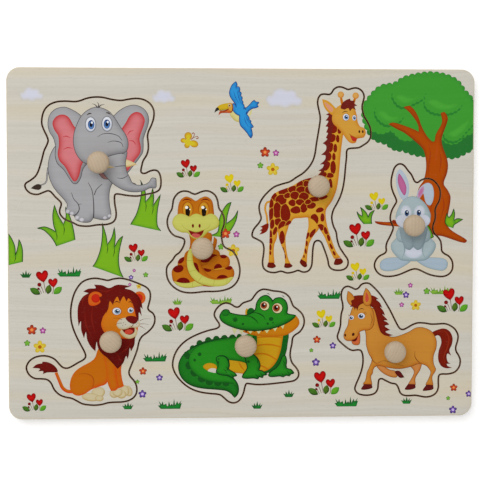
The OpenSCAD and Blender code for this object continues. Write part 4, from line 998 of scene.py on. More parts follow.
def horseArt(d):
    coat = dict(reach=3, rim=0.3)
    d.fill([(61.4, 41.6), (65, 43.6), (69.4, 44.4), (73, 42.6), (75, 38.4), (74.6, 34), (73, 30),
        (74.2, 26.6, 0), (71.8, 28), (71.2, 26), (72, 22.6), (74, 21.2, 0), (71.4, 21.2), (72, 19.8),
        (75, 18.6, 0), (70.6, 18.4), (67.4, 20.2), (65.6, 24.4), (66, 30), (67.6, 35), (67, 38.6),
        (65.4, 40), (63, 39.4)], "mane", 1.8)
    d.line([(65, 42.4), (70, 42.6), (72.6, 38), (71.6, 32), (69.4, 26), (70, 21.6)], (146, 44, 20), 0.2,
        0.2, 0.8)
    # far legs
    for leg in ([(25, 22), (28, 17), (33.4, 13.6), (38, 12.8), (39, 14.4, 0), (37.4, 16.6), (34, 17.4),
            (31, 19.6), (34, 24)], [(43, 22), (47.8, 19.6), (50, 16.6), (49.5, 13.8), (46, 7.8, 0),
            (50.8, 7.8, 0), (50.4, 11), (51.2, 13.6), (53, 16.4), (54.2, 19.2), (54.4, 22)]):
        d.fill(leg, "far", 1.6, "coatDeep", rim=0.3)
    for hoof in ([(37.2, 16.2), (38.6, 17), (40.6, 16.6), (43.6, 12.6, 0), (41, 12.2), (39.4, 13.2)],
            [(43.8, 4.8), (46, 8.2, 0), (50.6, 8, 0), (50.8, 5.6), (47, 4.4)]):
        d.fill(hoof, "hoof", 1.2)
    # far ear and body, then the mane over the neck
    d.fill([(6.4, 69, 0), (9.4, 66.4), (10.8, 63), (10, 59.6), (7.4, 60.6), (5.8, 64)], "coat", **coat)
    body = curve([(17.6, 46), (18.4, 40), (18.6, 34), (20.4, 28), (22.4, 24.6), (20.6, 19), (19.2, 16),
        (18.2, 10.8), (16.4, 8.4, 0), (22.3, 8, 0), (21.4, 13.4), (22.6, 15.6), (22.8, 17.6), (24, 19.6),
        (26.4, 20.6), (32, 19.4), (40, 18.4), (47, 19.6), (53, 21.6), (57.6, 20.4), (60, 18), (61, 15.6),
        (59.3, 10.8), (57.6, 7.8, 0), (62.4, 7.4, 0), (61.6, 12.8), (64, 17.4), (63, 20), (62.3, 22.8),
        (62.5, 27), (64.2, 32), (64, 37.4), (61, 42.4), (56, 44.8), (51, 44.8), (46, 42), (36.4, 38.8),
        (31.4, 40.4), (27.4, 44.6), (26, 50), (24.8, 56), (20, 58)])
    d.fill(body, "coat", **coat)
    d.fill([(19, 66.4), (23.4, 65.8), (26.4, 63.8, 0), (24.8, 63.6), (27.2, 61.4), (28.8, 58, 0),
        (27.2, 58.8), (29.4, 56.2), (30.7, 53, 0), (28.8, 54), (32.5, 50, 0), (29.8, 49.8), (31.8, 48.8),
        (33.5, 47.2, 0), (30.5, 46.2), (34.1, 43.6, 0), (31, 42.6), (33, 41.2), (36, 40.3, 0), (33, 39.7),
        (30, 40.4), (27.4, 43), (24.2, 55), (22.4, 58.4), (19.4, 60.4)], "mane", 2)
    d.line([(25, 21.6), (30, 23.6), (36, 22), (43, 20)], "line", 0.15, 0.15, 0.3)
    d.line([(50.4, 30), (50.4, 26), (52.6, 22.8), (54, 21.8)], "line", 0.15, 0.3, 0.5)
    d.line([(21, 27), (22.6, 24), (25.4, 21.4)], "line", 0.2, 0.2, 0.5)
    for hoof in ([(15.2, 5), (17.2, 8.4, 0), (22, 8.2, 0), (22.6, 6), (19, 4.8)], [(55.6, 3.9),
            (58, 7.6, 0), (62.4, 7.4, 0), (62.6, 4.8), (59, 3.8)]):
        d.fill(hoof, "hoof", 1.2)
    # head, lower lip first
    d.fill([(9, 38.6), (9.4, 35.2), (11, 34.2), (13.6, 34.4), (14.2, 37), (13.8, 42), (11, 43)], "tongue",
        1, "coatDeep", rim=0.3)
    d.fill([(11, 61), (7.4, 52), (6.4, 46.6), (4.6, 43), (3.8, 39.8), (5, 37.4), (8, 36.8), (10.6, 37.6),
        (12.8, 39.6), (13.8, 42.4), (16.4, 43.6), (20.4, 44), (22.8, 46.6), (23.4, 51), (22.4, 56.6),
        (19.6, 60.4), (15, 61.6)], "coat", 2.6, rim=0.3)
    d.fill([(8.6, 37.2, 0), (11, 38), (12.8, 39.8, 0), (12.2, 37.2), (10.4, 36.2)], "mouth")
    d.fill(oval(9.9, 40.9, 0.9, 1.1, -20, 14), "dark")
    d.fill(oval(4.7, 40.4, 0.6, 1, 10, 14), "dark")
    d.fill([(7.6, 58.8, 0), (8.8, 60.6), (8.2, 62.8, 0), (10.4, 64), (10.2, 66, 0), (14, 66.4),
        (20.4, 65.6), (20, 61), (16, 61), (13.6, 59.4), (12.4, 56.2, 0), (11.6, 58.2), (10.8, 56.6, 0),
        (10, 58.8)], "mane", 1.4)
    d.fill([(18, 71, 0), (20.6, 68), (21.6, 64), (20.8, 60.4), (18.4, 59.6), (16.6, 61.6), (16.4, 66)],
        "coat", **coat)
    d.fill([(18.2, 68.6, 0), (19.6, 66), (19.8, 63), (18.4, 61.8), (17.6, 64)], "ear")
    eye(d, 15.2, 52.8, 2.3, 1.9, look=(-0.3, -0.1), lid="coatDeep")
    eye(d, 8.7, 51.8, 1.6, 1.4, look=(-0.2, -0.1), lid="coatDeep")
    d.line([(13.4, 56.8), (15.2, 57.7), (17, 57.1)], "dark", 0.15, 0.15, 0.5)
    d.lines([[(16.4, 54.6), (17.6, 54.9), (18.2, 55.6)], [(17, 54), (18, 54.1), (18.8, 54.6)],
        [(7.4, 53), (6.8, 53.4), (6.6, 54)]], "dark", 0.35, 0.1)
    d.line([(21, 54.6), (22.2, 50.4), (21, 46.4)], "line", 0.15, 0.15, 0.4)


animalArt = {
    "elephant": (elephantArt, elephantInks),
    "snake": (snakeArt, snakeInks),
    "giraffe": (giraffeArt, giraffeInks),
    "rabbit": (rabbitArt, rabbitInks),
    "lion": (lionArt, lionInks),
    "crocodile": (crocodileArt, crocodileInks),
    "horse": (horseArt, horseInks),
}


# The meadow round the animals, in board millimetres from the middle

sceneInks = {"cloud": (213, 214, 228), "leaf": (64, 156, 50), "leafDeep": (42, 128, 48),
    "leafPale": (76, 168, 56), "leafShadow": (38, 116, 48), "leafEdge": (36, 112, 44),
    "barkDark": (142, 44, 10), "bark": (178, 75, 2), "barkDeep": (136, 44, 8), "heart": (198, 14, 12),
    "heartDeep": (124, 2, 6), "berry": (152, 12, 10), "berryDeep": (96, 0, 6), "stem": (122, 100, 88),
    "gold": (214, 186, 16), "blade": (123, 180, 30), "bladeDeep": (70, 140, 34), "edge": (26, 56, 20),
    "tuft": (24, 134, 46), "tuftDeep": (30, 92, 40), "tuftPale": (142, 188, 62),
    "tuftPaleDeep": (104, 150, 50), "red": (204, 70, 36), "pink": (196, 92, 170),
    "yellow": (222, 204, 24), "green": (122, 186, 60), "purple": (112, 78, 168),
    "daisy": (226, 198, 62), "lemon": (212, 176, 36), "face": (216, 160, 60), "vest": (214, 205, 136),
    "vestDeep": (190, 170, 84), "wood": (206, 201, 188), "sky": (46, 150, 216),
    "skyDeep": (30, 92, 170), "navy": (30, 56, 118), "brown": (126, 72, 20), "black": (40, 36, 34)}


def cloudArt(d, x, y, wide, high):
    puffs = [(-0.5, -0.12), (-0.46, 0.12), (-0.34, 0.16), (-0.28, 0.38), (-0.08, 0.5), (0.08, 0.4),
        (0.22, 0.42), (0.34, 0.28), (0.37, 0.1), (0.48, 0.02), (0.5, -0.22), (0.4, -0.4), (0.22, -0.38),
        (0.04, -0.5), (-0.16, -0.42), (-0.36, -0.44)]
    d.fill([(x + px * wide, y + py * high) for px, py in puffs], "cloud", 3, "wood", side=False)


def heartShape(x, y, wide, tilt):
    # a heart of the given width about its middle, point down
    side = [(0.13, 0.42), (0.32, 0.46), (0.47, 0.34), (0.5, 0.12), (0.39, -0.14), (0.19, -0.36)]
    shape = curve([(0, 0.27, 0), *side, (0, -0.52, 0), *[(-u, v) for u, v in side[::-1]]], 3)
    return turned(shape * wide, tilt) + (x, y)


def leafShape(start, end, fat):
    # a leaf from its base to its tip, half as wide as the given share of its length
    start, end = np.array(start, float), np.array(end, float)
    along = end - start
    across = np.array([-along[1], along[0]]) * fat
    half = [(0.18, 0.6), (0.46, 1.0), (0.78, 0.72)]
    left = [tuple(start + along * t + across * w) for t, w in half]
    right = [tuple(start + along * t - across * w) for t, w in half[::-1]]
    return curve([(*start, 0), *left, (*end, 0), *right], 3)


def heartFlower(d, x, y, wide, kind="heart"):
    # two hearts and two berries on thin stems with three leaves, drawn 20 wide about the clump's middle
    s = wide / 20
    heart, deep, berry, berryDeep = (("heart", "heartDeep", "berry", "berryDeep") if kind == "heart" else
        ("yellow", "gold", "yellow", "gold"))

    def at(points):
        return [(x + px * s, y + py * s) for px, py in points]

    for stem in [[(-1.2, 0.4), (-0.6, -3.2), (0, -6.6)], [(-3, -2.2), (-2, -4.4), (-1.2, -6.6)],
            [(-4, -4.2), (-3.2, -5.6), (-2.6, -7)], [(4.9, -2.8), (4.8, -5.2), (4.1, -7.2)]]:
        d.line(at(stem), "stem", 0.5 * s, 0.3 * s)
    for leaf, tone, leafDeep, fat in [([(-3.4, -7.4), (-10, -3.5)], (78, 130, 38), (12, 32, 10), 0.27),
            ([(1.3, -7.3), (2.4, -1.2)], (90, 124, 34), (12, 34, 14), 0.32),
            ([(5, -7.2), (10.3, -2.7)], (102, 172, 40), (58, 124, 34), 0.3)]:
        d.fill(leafShape(*at(leaf), fat), tone, 2.2 * s, leafDeep)
        d.line(at(leaf), leafDeep, 0.2 * s, 0.1 * s)
    for px, py, size, tilt in [(-2, 4.1, 7.7, 11), (4.7, 0, 6, 6)]:
        d.fill(heartShape(x + px * s, y + py * s, size * s, tilt), heart, 0.2 * size * s, deep, side=False)
    d.fill(oval(x - 4 * s, y - 1.2 * s, 1.3 * s, 1.3 * s, 0, 14), berry, 0.8 * s, berryDeep, side=False)
    d.fill(oval(x - 4.5 * s, y - 3.8 * s, 0.9 * s, 0.65 * s, -40, 10), berryDeep)


def petalFlower(d, x, y, wide, ink):
    # five plump petals, one straight up, about a round middle
    deep = (198, 172, 48) if ink == "daisy" else tuple(int(v * 0.6) for v in d.inks[ink])
    middle, share = {"red": ((236, 150, 80), 0.3), "pink": ((232, 186, 222), 0.26),
        "daisy": ((176, 96, 20), 0.3), "green": ((96, 160, 44), 0.2), "purple": ((205, 182, 232),
        0.36)}[ink]
    r = wide / 2
    for k in range(5):
        a = math.radians(90 + 72 * k)
        d.fill(oval(x + math.cos(a) * r * 0.6, y + math.sin(a) * r * 0.6, r * 0.44, r * 0.37, 90 + 72 * k,
            12), ink, 0.16 * r, deep, side=False)
    d.fill(oval(x, y, r * 0.42, r * 0.42, 0, 10), ink)
    d.fill(oval(x, y, r * share, r * share, 0, 10), middle)


def tuftArt(d, x, y, wide, high, ink):
    # a low bush of pointed blades, in shares of its width and height, a small one with fewer
    narrow = wide < 8
    blades = [(-0.38, 0), (-0.5, 0.35), (-0.4, 0.38), (-0.47, 0.84), (-0.35, 0.46), (-0.3, 0.78),
        (-0.26, 0.42), (-0.15, 0.55), (-0.11, 0.26), (-0.07, 0.34), (-0.04, 0.78), (0.02, 0.36),
        (0.08, 0.54), (0.13, 0.36), (0.18, 1.04), (0.22, 0.38), (0.31, 0.78), (0.36, 0.5), (0.49, 0.86),
        (0.44, 0.56), (0.5, 0.56), (0.43, 0)]
    if narrow:
        blades = [(-0.3, 0), (-0.52, 0.5), (-0.3, 0.42), (-0.28, 0.8), (-0.1, 0.4), (0.02, 1.04),
            (0.12, 0.42), (0.32, 0.8), (0.28, 0.4), (0.52, 0.62), (0.32, 0)]
    shape = np.array([(x + u * wide, y + (v - 0.5) * high) for u, v in blades])
    d.fill(shape, ink, 0.05 * wide, side=False)


def grassClump(d, outline, spines):
    # broad blades in one outline, with a dark line along all its sides but the last, the foot
    shape = curve(outline, 3)
    d.fill(shape, "blade", 1.8, side=False)
    d.line(outline, "edge", 0.48)
    d.lines(spines, "edge", 0.15, 0.15, 0.5, within=[shape])


def butterflyArt(d):
    d.lines([[(-33.2, 66.8), (-31.6, 68.6), (-30.8, 70.4), (-31.6, 71.3), (-32.3, 70.5)],
        [(-33.2, 66.8), (-31, 68.4), (-29, 69), (-28.4, 67.9), (-29.8, 67.6)]], (150, 84, 56), 0.3, 0.6)
    wings = [oval(*wing) for wing in [(-35.6, 63.2, 1.4, 1.4, 0), (-37.9, 66.4, 1.5, 1.2, 0),
        (-34.8, 69.2, 2.1, 2.2, 10), (-31.2, 64.3, 2.5, 1.9, -20)]]
    for wing in wings:
        d.fill(grown(wing, 0.35), (182, 132, 24))
    for wing in wings:
        d.fill(wing, (216, 180, 38), 0.9, (198, 152, 30), side=False)
    d.fill([(-37.8, 67.2), (-36, 67), (-35.8, 69.4), (-34, 69.6), (-33.6, 66.6), (-30.6, 64.8),
        (-31.4, 63.4), (-35.6, 63.4), (-38, 65.8)], (214, 194, 42))


def birdArt(d):
    blue = dict(reach=1.8, rim=0.4, rimInk="navy")
    # belly, tail and body, then the upper wing and the lower one
    d.fill([(-8.1, 83.4), (-6.8, 81.2), (-5.1, 79.3), (-3.2, 78.5), (-1.6, 79), (-1.6, 83), (-4.4, 84.6),
        (-6.4, 85.6)], "vest", 0.8, "vestDeep", rim=0.15, rimInk="vestDeep")
    d.line([(3.9, 82), (5, 84), (5.9, 86.4)], "vest", 0.8, 0.6, 1.3)
    d.fill([(0.6, 87.2), (2.2, 87.2), (4.2, 88.8), (6.1, 91), (7.4, 92, 0), (8.4, 91), (10.4, 90.8, 0),
        (9.3, 89.4), (9.9, 88.1, 0), (8.1, 87.4), (6.6, 87.2), (5.2, 86.5), (3.7, 85.3), (2.2, 83.4),
        (-1, 84)], "sky", **blue)
    d.fill([(-6, 89.9), (-4.6, 88.9), (-3.2, 87.4), (1, 87.4), (2.2, 83.6), (-1.6, 82.4), (-2.8, 82.8),
        (-4.4, 83.8), (-5.9, 85.6), (-6.4, 87.6)], "sky", **blue)
    d.fill([(-3.2, 86.8), (-4.4, 89.5), (-5.9, 91.7), (-7.6, 94.2), (-8.3, 96.6), (-7.8, 99.3),
        (-6.4, 102), (-4.4, 103.8, 0), (-3.7, 102.2), (-3.9, 100.6, 0), (-2.4, 100.4), (-1.9, 98.9),
        (-2.3, 97.4, 0), (-1.1, 96.9), (-1.4, 94.6, 0), (-0.4, 94), (-0.7, 92, 0), (0.1, 91.2),
        (0, 89.9, 0), (0.7, 89), (0.8, 87)], "sky", **blue)
    d.fill([(-1.8, 83.4), (-1.9, 80.2), (-1.7, 77.8), (-1, 75.8), (0.8, 73.9), (3, 71.4), (4.4, 69.2),
        (5.4, 68.2, 0), (6.1, 70), (5.9, 72), (5.3, 74.7, 0), (6.8, 75.1, 0), (5.7, 76.8), (4.9, 77.6, 0),
        (5.3, 78.8, 0), (4.1, 79.8, 0), (4, 81), (2.4, 83.4), (1.6, 85.4), (-1.2, 86)], "sky", **blue)
    # the wings run into the body with no line between
    d.fill([(-4, 87.6), (-2.8, 89.6), (-0.4, 89), (0.6, 86.6), (2.6, 85.8), (1.6, 83.4), (0.6, 82),
        (-1.2, 82.6), (-3.6, 84.2)], "sky")
    d.lines([[(-2.2, 90), (-4.6, 94), (-5.8, 98)], [(-1.2, 90), (-2.4, 93.6), (-3.6, 98)],
        [(1, 81.6), (1.8, 78.6), (3.8, 75)], [(2, 82), (3, 79.8), (4.4, 77.8)]], "skyDeep", 0.15, 0.15,
        0.5)
    # head and beak
    d.fill([(-6.5, 89.8), (-8.8, 90.4), (-10.2, 88), (-9.8, 85), (-7.4, 84.1), (-6, 86.4)], "face", 0.7,
        (170, 60, 24))
    d.fill([(-16.6, 87.2), (-14.9, 88.9), (-12.5, 89.8), (-9, 90.1), (-9.2, 87.8), (-9.4, 86.6),
        (-12, 85.8), (-15.6, 85.7)], "lemon", 0.7, (160, 140, 30))
    d.fill([(-15.5, 82.3, 0), (-14.6, 85), (-8, 85.6), (-7.4, 84.1), (-11.2, 84), (-14, 83.7)],
        (208, 100, 44), 0.5, (150, 44, 16))
    d.line([(-15, 85.4), (-11.6, 85.3), (-8.8, 86.6)], (136, 32, 16), 0.3, 0.6, 0.8)
    d.fill([(-16.9, 87.2), (-18.2, 84.1, 0), (-16.8, 85), (-15.1, 86.1), (-15.6, 87.4)], "black")
    d.fill(oval(-8.4, 88.8, 0.95, 0.95, 0, 12), (200, 190, 160))
    d.fill(oval(-8.4, 88.7, 0.55, 0.6, 0, 10), "brown")
    d.line([(-6.9, 90), (-6.3, 88), (-6.7, 85.4), (-7.6, 84.2)], (96, 30, 40), 0.3, 0.4, 0.6)


def scallops(points, spacing, bulge):
    # a smooth closed line broken into even round bumps, or hollows where the bulge is below zero
    line = curve(points, 8)
    run = np.concatenate([[0], np.cumsum(np.linalg.norm(np.roll(line, -1, 0) - line, axis=1))])
    line = np.vstack([line, line[:1]])
    marks = np.linspace(0, run[-1], int(run[-1] / spacing), endpoint=False)
    posts = np.stack([np.interp(marks, run, line[:, 0]), np.interp(marks, run, line[:, 1])], 1)
    turn = math.copysign(1, area(posts))
    path = []
    for a, b in zip(posts, np.roll(posts, -1, 0)):
        half = np.linalg.norm(b - a) / 2
        out = np.array([b[1] - a[1], a[0] - b[0]]) / (2 * half) * turn
        for t in (0, 0.2, 0.4, 0.6, 0.8):
            path.append(a + (b - a) * t + out * math.sin(math.pi * t) * half * bulge)
    return np.array(path)


def treeArt(d):
    crown = [(83.8, 68.2), (78.7, 77.6), (77.6, 87.8), (81.9, 94.6), (87.4, 100.4), (93, 102.4),
        (98.4, 102.8), (101.6, 105.8), (107, 107.8), (114.8, 109.4), (120.6, 110), (126.8, 109.6),
        (133.6, 107.8), (140, 104), (143.2, 98.8), (147.6, 94.8), (149.4, 90.4), (149.6, 80), (149.6, 70),
        (149.4, 62.8), (147.2, 59.8), (143.2, 58.9), (140.8, 57), (134.6, 55.6), (131, 57), (124, 60),
        (118, 57), (112.6, 57.6), (107.8, 58.9), (102.2, 61), (97.6, 60.6), (94, 64.4), (89.2, 65.8)][::-1]
    leafy = scallops(crown, 4, 0.6)
    d.fill(leafy, "leaf", 3, rim=0.2, rimInk="leafEdge")
    for low in ([(76, 74), (84, 73), (90, 71), (96, 73.4), (102, 67.6), (109, 67), (115, 69.4), (118, 63),
            (118, 54), (96, 54), (76, 62)], [(128, 69), (131, 66), (135, 64.6), (140, 66), (143.4, 69.6),
            (148, 71.4), (152, 72), (152, 52), (128, 52)]):
        d.fill(scallops(low, 3.4, -0.5), "leafShadow", 2.4, "leafDeep", within=[leafy])
    # lighter clusters, each with a dark scalloped lower edge
    for cluster, light in [([(85.6, 84.6), (86.8, 81.6), (89.6, 78.8), (93, 77), (97.4, 77.8),
            (101.6, 79.6), (104, 83), (103, 88), (98, 92), (91, 92.4), (86.4, 89)], [(86.8, 85),
            (88.6, 82), (93, 79), (98.6, 79.4), (101.4, 82), (96, 82.4), (91, 86)]), ([(96.6, 96.4),
            (98.4, 92), (101.8, 89), (106.4, 88.8), (110.8, 91.2), (115, 93), (117.6, 97), (114, 102),
            (106, 103.6), (99.4, 101)], [(98.4, 95), (101, 91.8), (105.4, 90.2), (111, 92.6),
            (114.6, 95.4), (107, 94.6), (102, 96.4)]), ([(117.6, 91), (119, 87.8), (123, 85.2),
            (128.4, 84.4), (135, 85), (139.6, 87.4), (142, 90.6), (141.6, 97), (136, 102.6), (127, 104),
            (120, 99.6)], [(119.4, 92), (122.6, 88.2), (128.6, 86.2), (136, 87.4), (139.8, 90.6),
            (131, 90.6), (124, 93.6)]), ([(130.4, 70), (133, 67.4), (137.6, 66.8), (142, 69.6),
            (145, 73.4), (149.2, 78), (149.2, 86), (142, 84), (135, 80), (131.6, 76)], [(132.4, 71.4),
            (136.4, 68.4), (141.4, 71), (145.4, 76), (147.4, 81), (141, 77), (136, 73.6)])]:
        ring = scallops(cluster, 2.8, 0.5)
        d.fill(ring - (0.5, 1.5), "leafDeep", within=[leafy])
        d.fill(ring, "leaf", within=[leafy])
        d.fill(light, "leafPale", 2.2, "leaf", side=False, within=[leafy])
    d.fill([(85.4, 14.7, 0), (95.6, 14.2), (97.8, 15.6), (101, 13.9), (103.6, 11, 0), (90, 12.2),
        (86.2, 13.4)], "barkDark")
    d.line([(87.6, 14), (94, 13.1), (101.6, 12)], "bark", 0.3, 0.9, 1.3)
    d.fill([(117.7, 59.5), (114.9, 63.5), (104.7, 71.7), (99.2, 74.5), (94.3, 77.3, 0), (97.6, 78),
        (109.4, 74.2), (113.9, 72.1, 0), (113.7, 76), (111.8, 80), (107.8, 85), (104, 88.2, 0),
        (107.8, 88.9, 0), (110.6, 86.3), (113.3, 81.5), (115.3, 76), (118.8, 69.7), (122.4, 66),
        (124.2, 66.2), (125.1, 70.5), (129.1, 78.4), (128.2, 84.4, 0), (130.2, 85, 0), (131.8, 83),
        (132.4, 80), (128.7, 69), (128.8, 64.2), (132.2, 54.8), (132.8, 50), (132.1, 45.3), (130.3, 40.4),
        (130.4, 37.9), (133, 34.3), (134.7, 29.6), (132.5, 15.4), (132.9, 11.5), (136.2, 8), (145.6, 2.2),
        (144, 0.7), (129.4, 5.2), (124.4, 5.8), (122.8, 8), (119, 14), (114, 20), (112.6, 28),
        (113.6, 34), (115, 37.4), (117.4, 41), (119, 50)], "bark", 2.6, rim=0.25, rimInk="barkDeep")
    # grooves in the bark, and two lighter streaks
    d.lines([[(120.4, 64), (121.4, 58), (120.4, 50), (120.6, 43)], [(127.4, 60), (128.4, 54),
        (127.4, 46)], [(122, 34), (122.6, 26), (120.6, 17)], [(129, 32), (130.6, 25), (128, 14)]],
        (164, 60, 12), 0.2, 0.2, 1.1)
    d.lines([[(126, 65), (125.4, 58), (124, 50)], [(126.6, 30), (127.4, 24), (125.6, 17)]], (182, 76, 14),
        0.3, 0.3, 1.6)


def backgroundArt(d):
    for cloud in [(-134, 95.5, 15.4, 9.6), (-50.5, 94.5, 15.4, 9.6), (26.6, 93.8, 24, 13.4)]:
        cloudArt(d, *cloud)
    treeArt(d)
    for outline, spines in [([(-118.9, -1.1, 0), (-120.8, 2.6), (-123.8, 6.4),
            (-127.4, 9.4), (-131.2, 10.4, 0), (-126.4, 11.3), (-122, 9.7), (-119.3, 8.1, 0),
            (-120.6, 12), (-121.2, 18.6), (-120.1, 25.3, 0), (-117.7, 18.5), (-114.5, 13, 0),
            (-112.8, 17.6), (-113.2, 24.1, 0), (-110.2, 17.4), (-108.2, 10), (-107.1, 2.9, 0)],
            [[(-119.4, 8.4), (-118.6, 5.4), (-118.8, 2.6)], [(-114.6, 13.2), (-113.9, 9.6), (-114.4, 6)]]),
            ([(-71.8, 12.7, 0), (-67.6, 20.4), (-64.8, 32.7), (-65.1, 40.8, 0), (-62.4, 34),
            (-62.2, 27.2, 0), (-59.2, 30.8), (-57.5, 36.1, 0), (-56.9, 30), (-57.4, 24.7, 0),
            (-52.5, 32.1, 0), (-54.3, 23.5), (-54.9, 17.3), (-54.6, 11.9), (-52.5, 8.5, 0)],
            [[(-62.2, 27.4), (-61.8, 24.6), (-62.2, 21)], [(-57.4, 24.9), (-57.4, 22), (-58.2, 19)]]),
            ([(-96, -14.2, 0), (-93.6, -10.4), (-90.9, -2.6), (-89.7, 7.4), (-89.9, 14, 0), (-87.4, 5.5),
            (-86.6, 0, 0), (-83.8, 4.4), (-82.1, 11.1, 0), (-81.5, 4.8), (-82.1, -1.9, 0), (-79.5, 2.8),
            (-76.7, 5.5, 0), (-78.7, -2.6), (-79.5, -9.3), (-78.8, -16), (-76.6, -21.3, 0)],
            [[(-86.6, 0.2), (-86.4, -3), (-87, -6)], [(-82.1, -1.7), (-82.2, -5), (-83, -8)]]),
            ([(-140.5, -11.1, 0), (-140.4, -4.4), (-141.2, 0), (-142.7, 3.4, 0), (-143.4, -1.4),
            (-145, -7.1, 0), (-145.3, -1.4), (-147.2, 3.6), (-149.6, 7.4, 0), (-149.6, -13.2, 0)],
            [[(-145, -6.9), (-145, -9), (-145.8, -11)]]), ([(-21, 5.4, 0), (-16, 8), (-14.9, 16.2),
            (-12.9, 21.4), (-9.8, 25.8), (-7.3, 27, 0), (-9.7, 19), (-10.5, 13.3, 0), (-7.4, 15.4),
            (-5, 18), (-3, 21.9, 0), (-4.2, 15.4), (-8.4, 8), (-13.9, 4.6, 0)],
            [[(-10.6, 13.4), (-11.2, 10.4), (-12.2, 8)]]), ([(78.6, 12.8, 0), (76.4, 15.3),
            (74.8, 17.8), (73.8, 21, 0), (75.2, 19.2), (77.3, 17.9, 0), (77.2, 20.4), (76.1, 23.8, 0),
            (78.9, 21.4), (80.4, 19.4), (81.2, 17.3, 0), (82.4, 20), (85.4, 21.9, 0), (83.8, 18.6),
            (83.3, 16), (83.6, 12.9, 0)], []), ([(133.1, 11.2, 0), (131.5, 13.6), (131.6, 16.2),
            (132.7, 20, 0), (133, 18.4), (134, 17, 0), (135.6, 19), (137, 22.8, 0), (137.7, 19.3),
            (137.2, 15.1, 0), (139.4, 16.3), (143.1, 15.8, 0), (139.6, 13.7), (137.4, 12.2),
            (136.6, 10.2, 0)], []), ([(118.6, 12.6, 0), (121, 11), (124, 4.4, 0),
            (121.4, 3.6), (119.6, 7)], [])]:
        grassClump(d, outline, spines)
    for ink, wide, high, places in [("tuft", 15.4, 6.4, [(-111, -17.4), (-56.5, -72.4), (-47, -103.2),
            (56, -32.4), (67.5, -102.6)]), ("tuft", 7, 4.8, [(-138.5, -18.8), (-74, -104), (30, -97),
            (9.4, -104.4), (107, -102)]), ("tuftPale", 14.6, 5.6, [(-14, -35.8), (129, -30)]),
            ("tuftPale", 6.4, 4.6, [(-42, -36.6), (101.4, -30.8)])]:
        for x, y in places:
            tuftArt(d, x, y, wide, high, ink)
    for x, y in [(75, 5.5), (-126, -24.5), (-42, -48.5), (52.5, -90.5), (136.5, -37)]:
        heartFlower(d, x, y, 20)
    for x, y in [(-35, 48.5), (-68.5, -5.5), (-134, -101.5)]:
        heartFlower(d, x, y, 15)
    for x, y in [(-7, 39), (86.5, 27.5), (74.5, -18), (52.5, -48.5)]:
        heartFlower(d, x, y, 15, "yellow")
    for x, y in [(14.4, 53.5), (-11, 1.3), (-135, -60.2)]:
        for ink, wide, dx, dy in [("red", 6.5, 0, 5.5), ("pink", 4.2, 7, 5), ("daisy", 8.1, 5, -5.5),
                ("green", 4, -3, -3)]:
            petalFlower(d, x + dx, y + dy, wide, ink)
    for ink, wide, places in [("red", 5, [(-64.2, -81.8), (48.2, -62), (138, -94)]), ("daisy", 6.9,
            [(112.6, -40)]), ("purple", 4.4, [(-53.6, -86), (58.6, -66), (106.2, -33.2), (148, -98.2)]),
            ("daisy", 3.4, [(-66.6, -27)]), ("purple", 5.2, [(-64.6, -96.6), (47.6, -76.8),
            (137.6, -108.6)]), ("purple", 3.2, [(-71.6, -21.2)]), ("green", 2.8, [(-67.8, -88.6),
            (44.6, -69), (134.4, -101)]), ("green", 3.4, [(-62.2, -19.6)]), ("green", 4.4,
            [(119.8, -30.8)]), ("pink", 3.3, [(109, -27), (103.4, -39.6)]), ("pink", 2.3, [(-69.6, -16.8),
            (-72.4, -25.8)])]:
        for x, y in places:
            petalFlower(d, x, y, wide, ink)
    butterflyArt(d)
    birdArt(d)


# The plywood sheets: the picture faces carry the print as colours on their own mesh

sheetValues = {
    "cutBevel": 0.2,
    "bevelSteps": 1,
    "outerRound": 0.7,
    "backingRound": 0.5,
    "roundSteps": 3,
    "boardGrid": 1.7,
    "animalGrid": 1.2,
    "gridRow": 0.87,  # of the grid's spacing, so that its triangles are even
    "gridGap": 0.25,  # of the spacing, kept free along an edge
    "lightFrom": (-0.5, 0.86),  # a printed shape is darkest along the sides away from this light
    "leastShade": 0.25,
    "screwSink": 1.7,
    "flatness": 0.002,
    "joined": 0.0005,  # points closer than this become one
    "largestHole": 60,  # square millimetres
    "cutCorners": 60,  # the fewest in the outline of a laser cut
    "sharpest": 32,  # degrees
}


def outlines(name, height):
    # the edge loops of a CAD piece's flat face at a height, material to their left, seen from above
    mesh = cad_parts[name].data
    places, weld = {}, []
    for vertex in mesh.vertices:
        spot = tuple(np.round(np.array(vertex.co) / unit, 3))
        weld.append(places.setdefault(spot, len(places)))
    spots = np.array(list(places))
    follow = {}
    for polygon in mesh.polygons:
        corners = [weld[v] for v in polygon.vertices]
        if np.abs(spots[corners][:, 2] - height).max() > sheetValues["flatness"]:
            continue
        for a, b in zip(corners, corners[1:] + corners[:1]):
            if a in follow.get(b, ()):
                follow[b].remove(a)
            else:
                follow.setdefault(a, set()).add(b)
    follow = {a: b for a, b in follow.items() if b}
    loops = []
    while follow:
        at, loop = next(iter(follow)), []
        while at in follow:
            loop.append(spots[at][:2])
            step = follow[at].pop()
            if not follow[at]:
                del follow[at]
            at = step
        loops.append(np.array(loop))
    loops.sort(key=lambda loop: -abs(area(loop)))
    if area(loops[0]) < 0:
        loops = [loop[::-1] for loop in loops]
    return loops


def roundedBox(loop):
    # a board's outline again, with finer arcs at its corners
    low, high = loop.min(0), loop.max(0)
    straight = np.abs(np.roll(loop, -1, 0) - loop).max(0)
    radius = ((high - low) - straight).min() / 2
    line = []
    for quarter, centre in enumerate([high - radius, (low[0] + radius, high[1] - radius), low + radius,
            (high[0] - radius, low[1] + radius)]):
        line += arc(centre, (radius, radius), 90 * quarter, 90 * quarter + 90)
    return np.array(line)


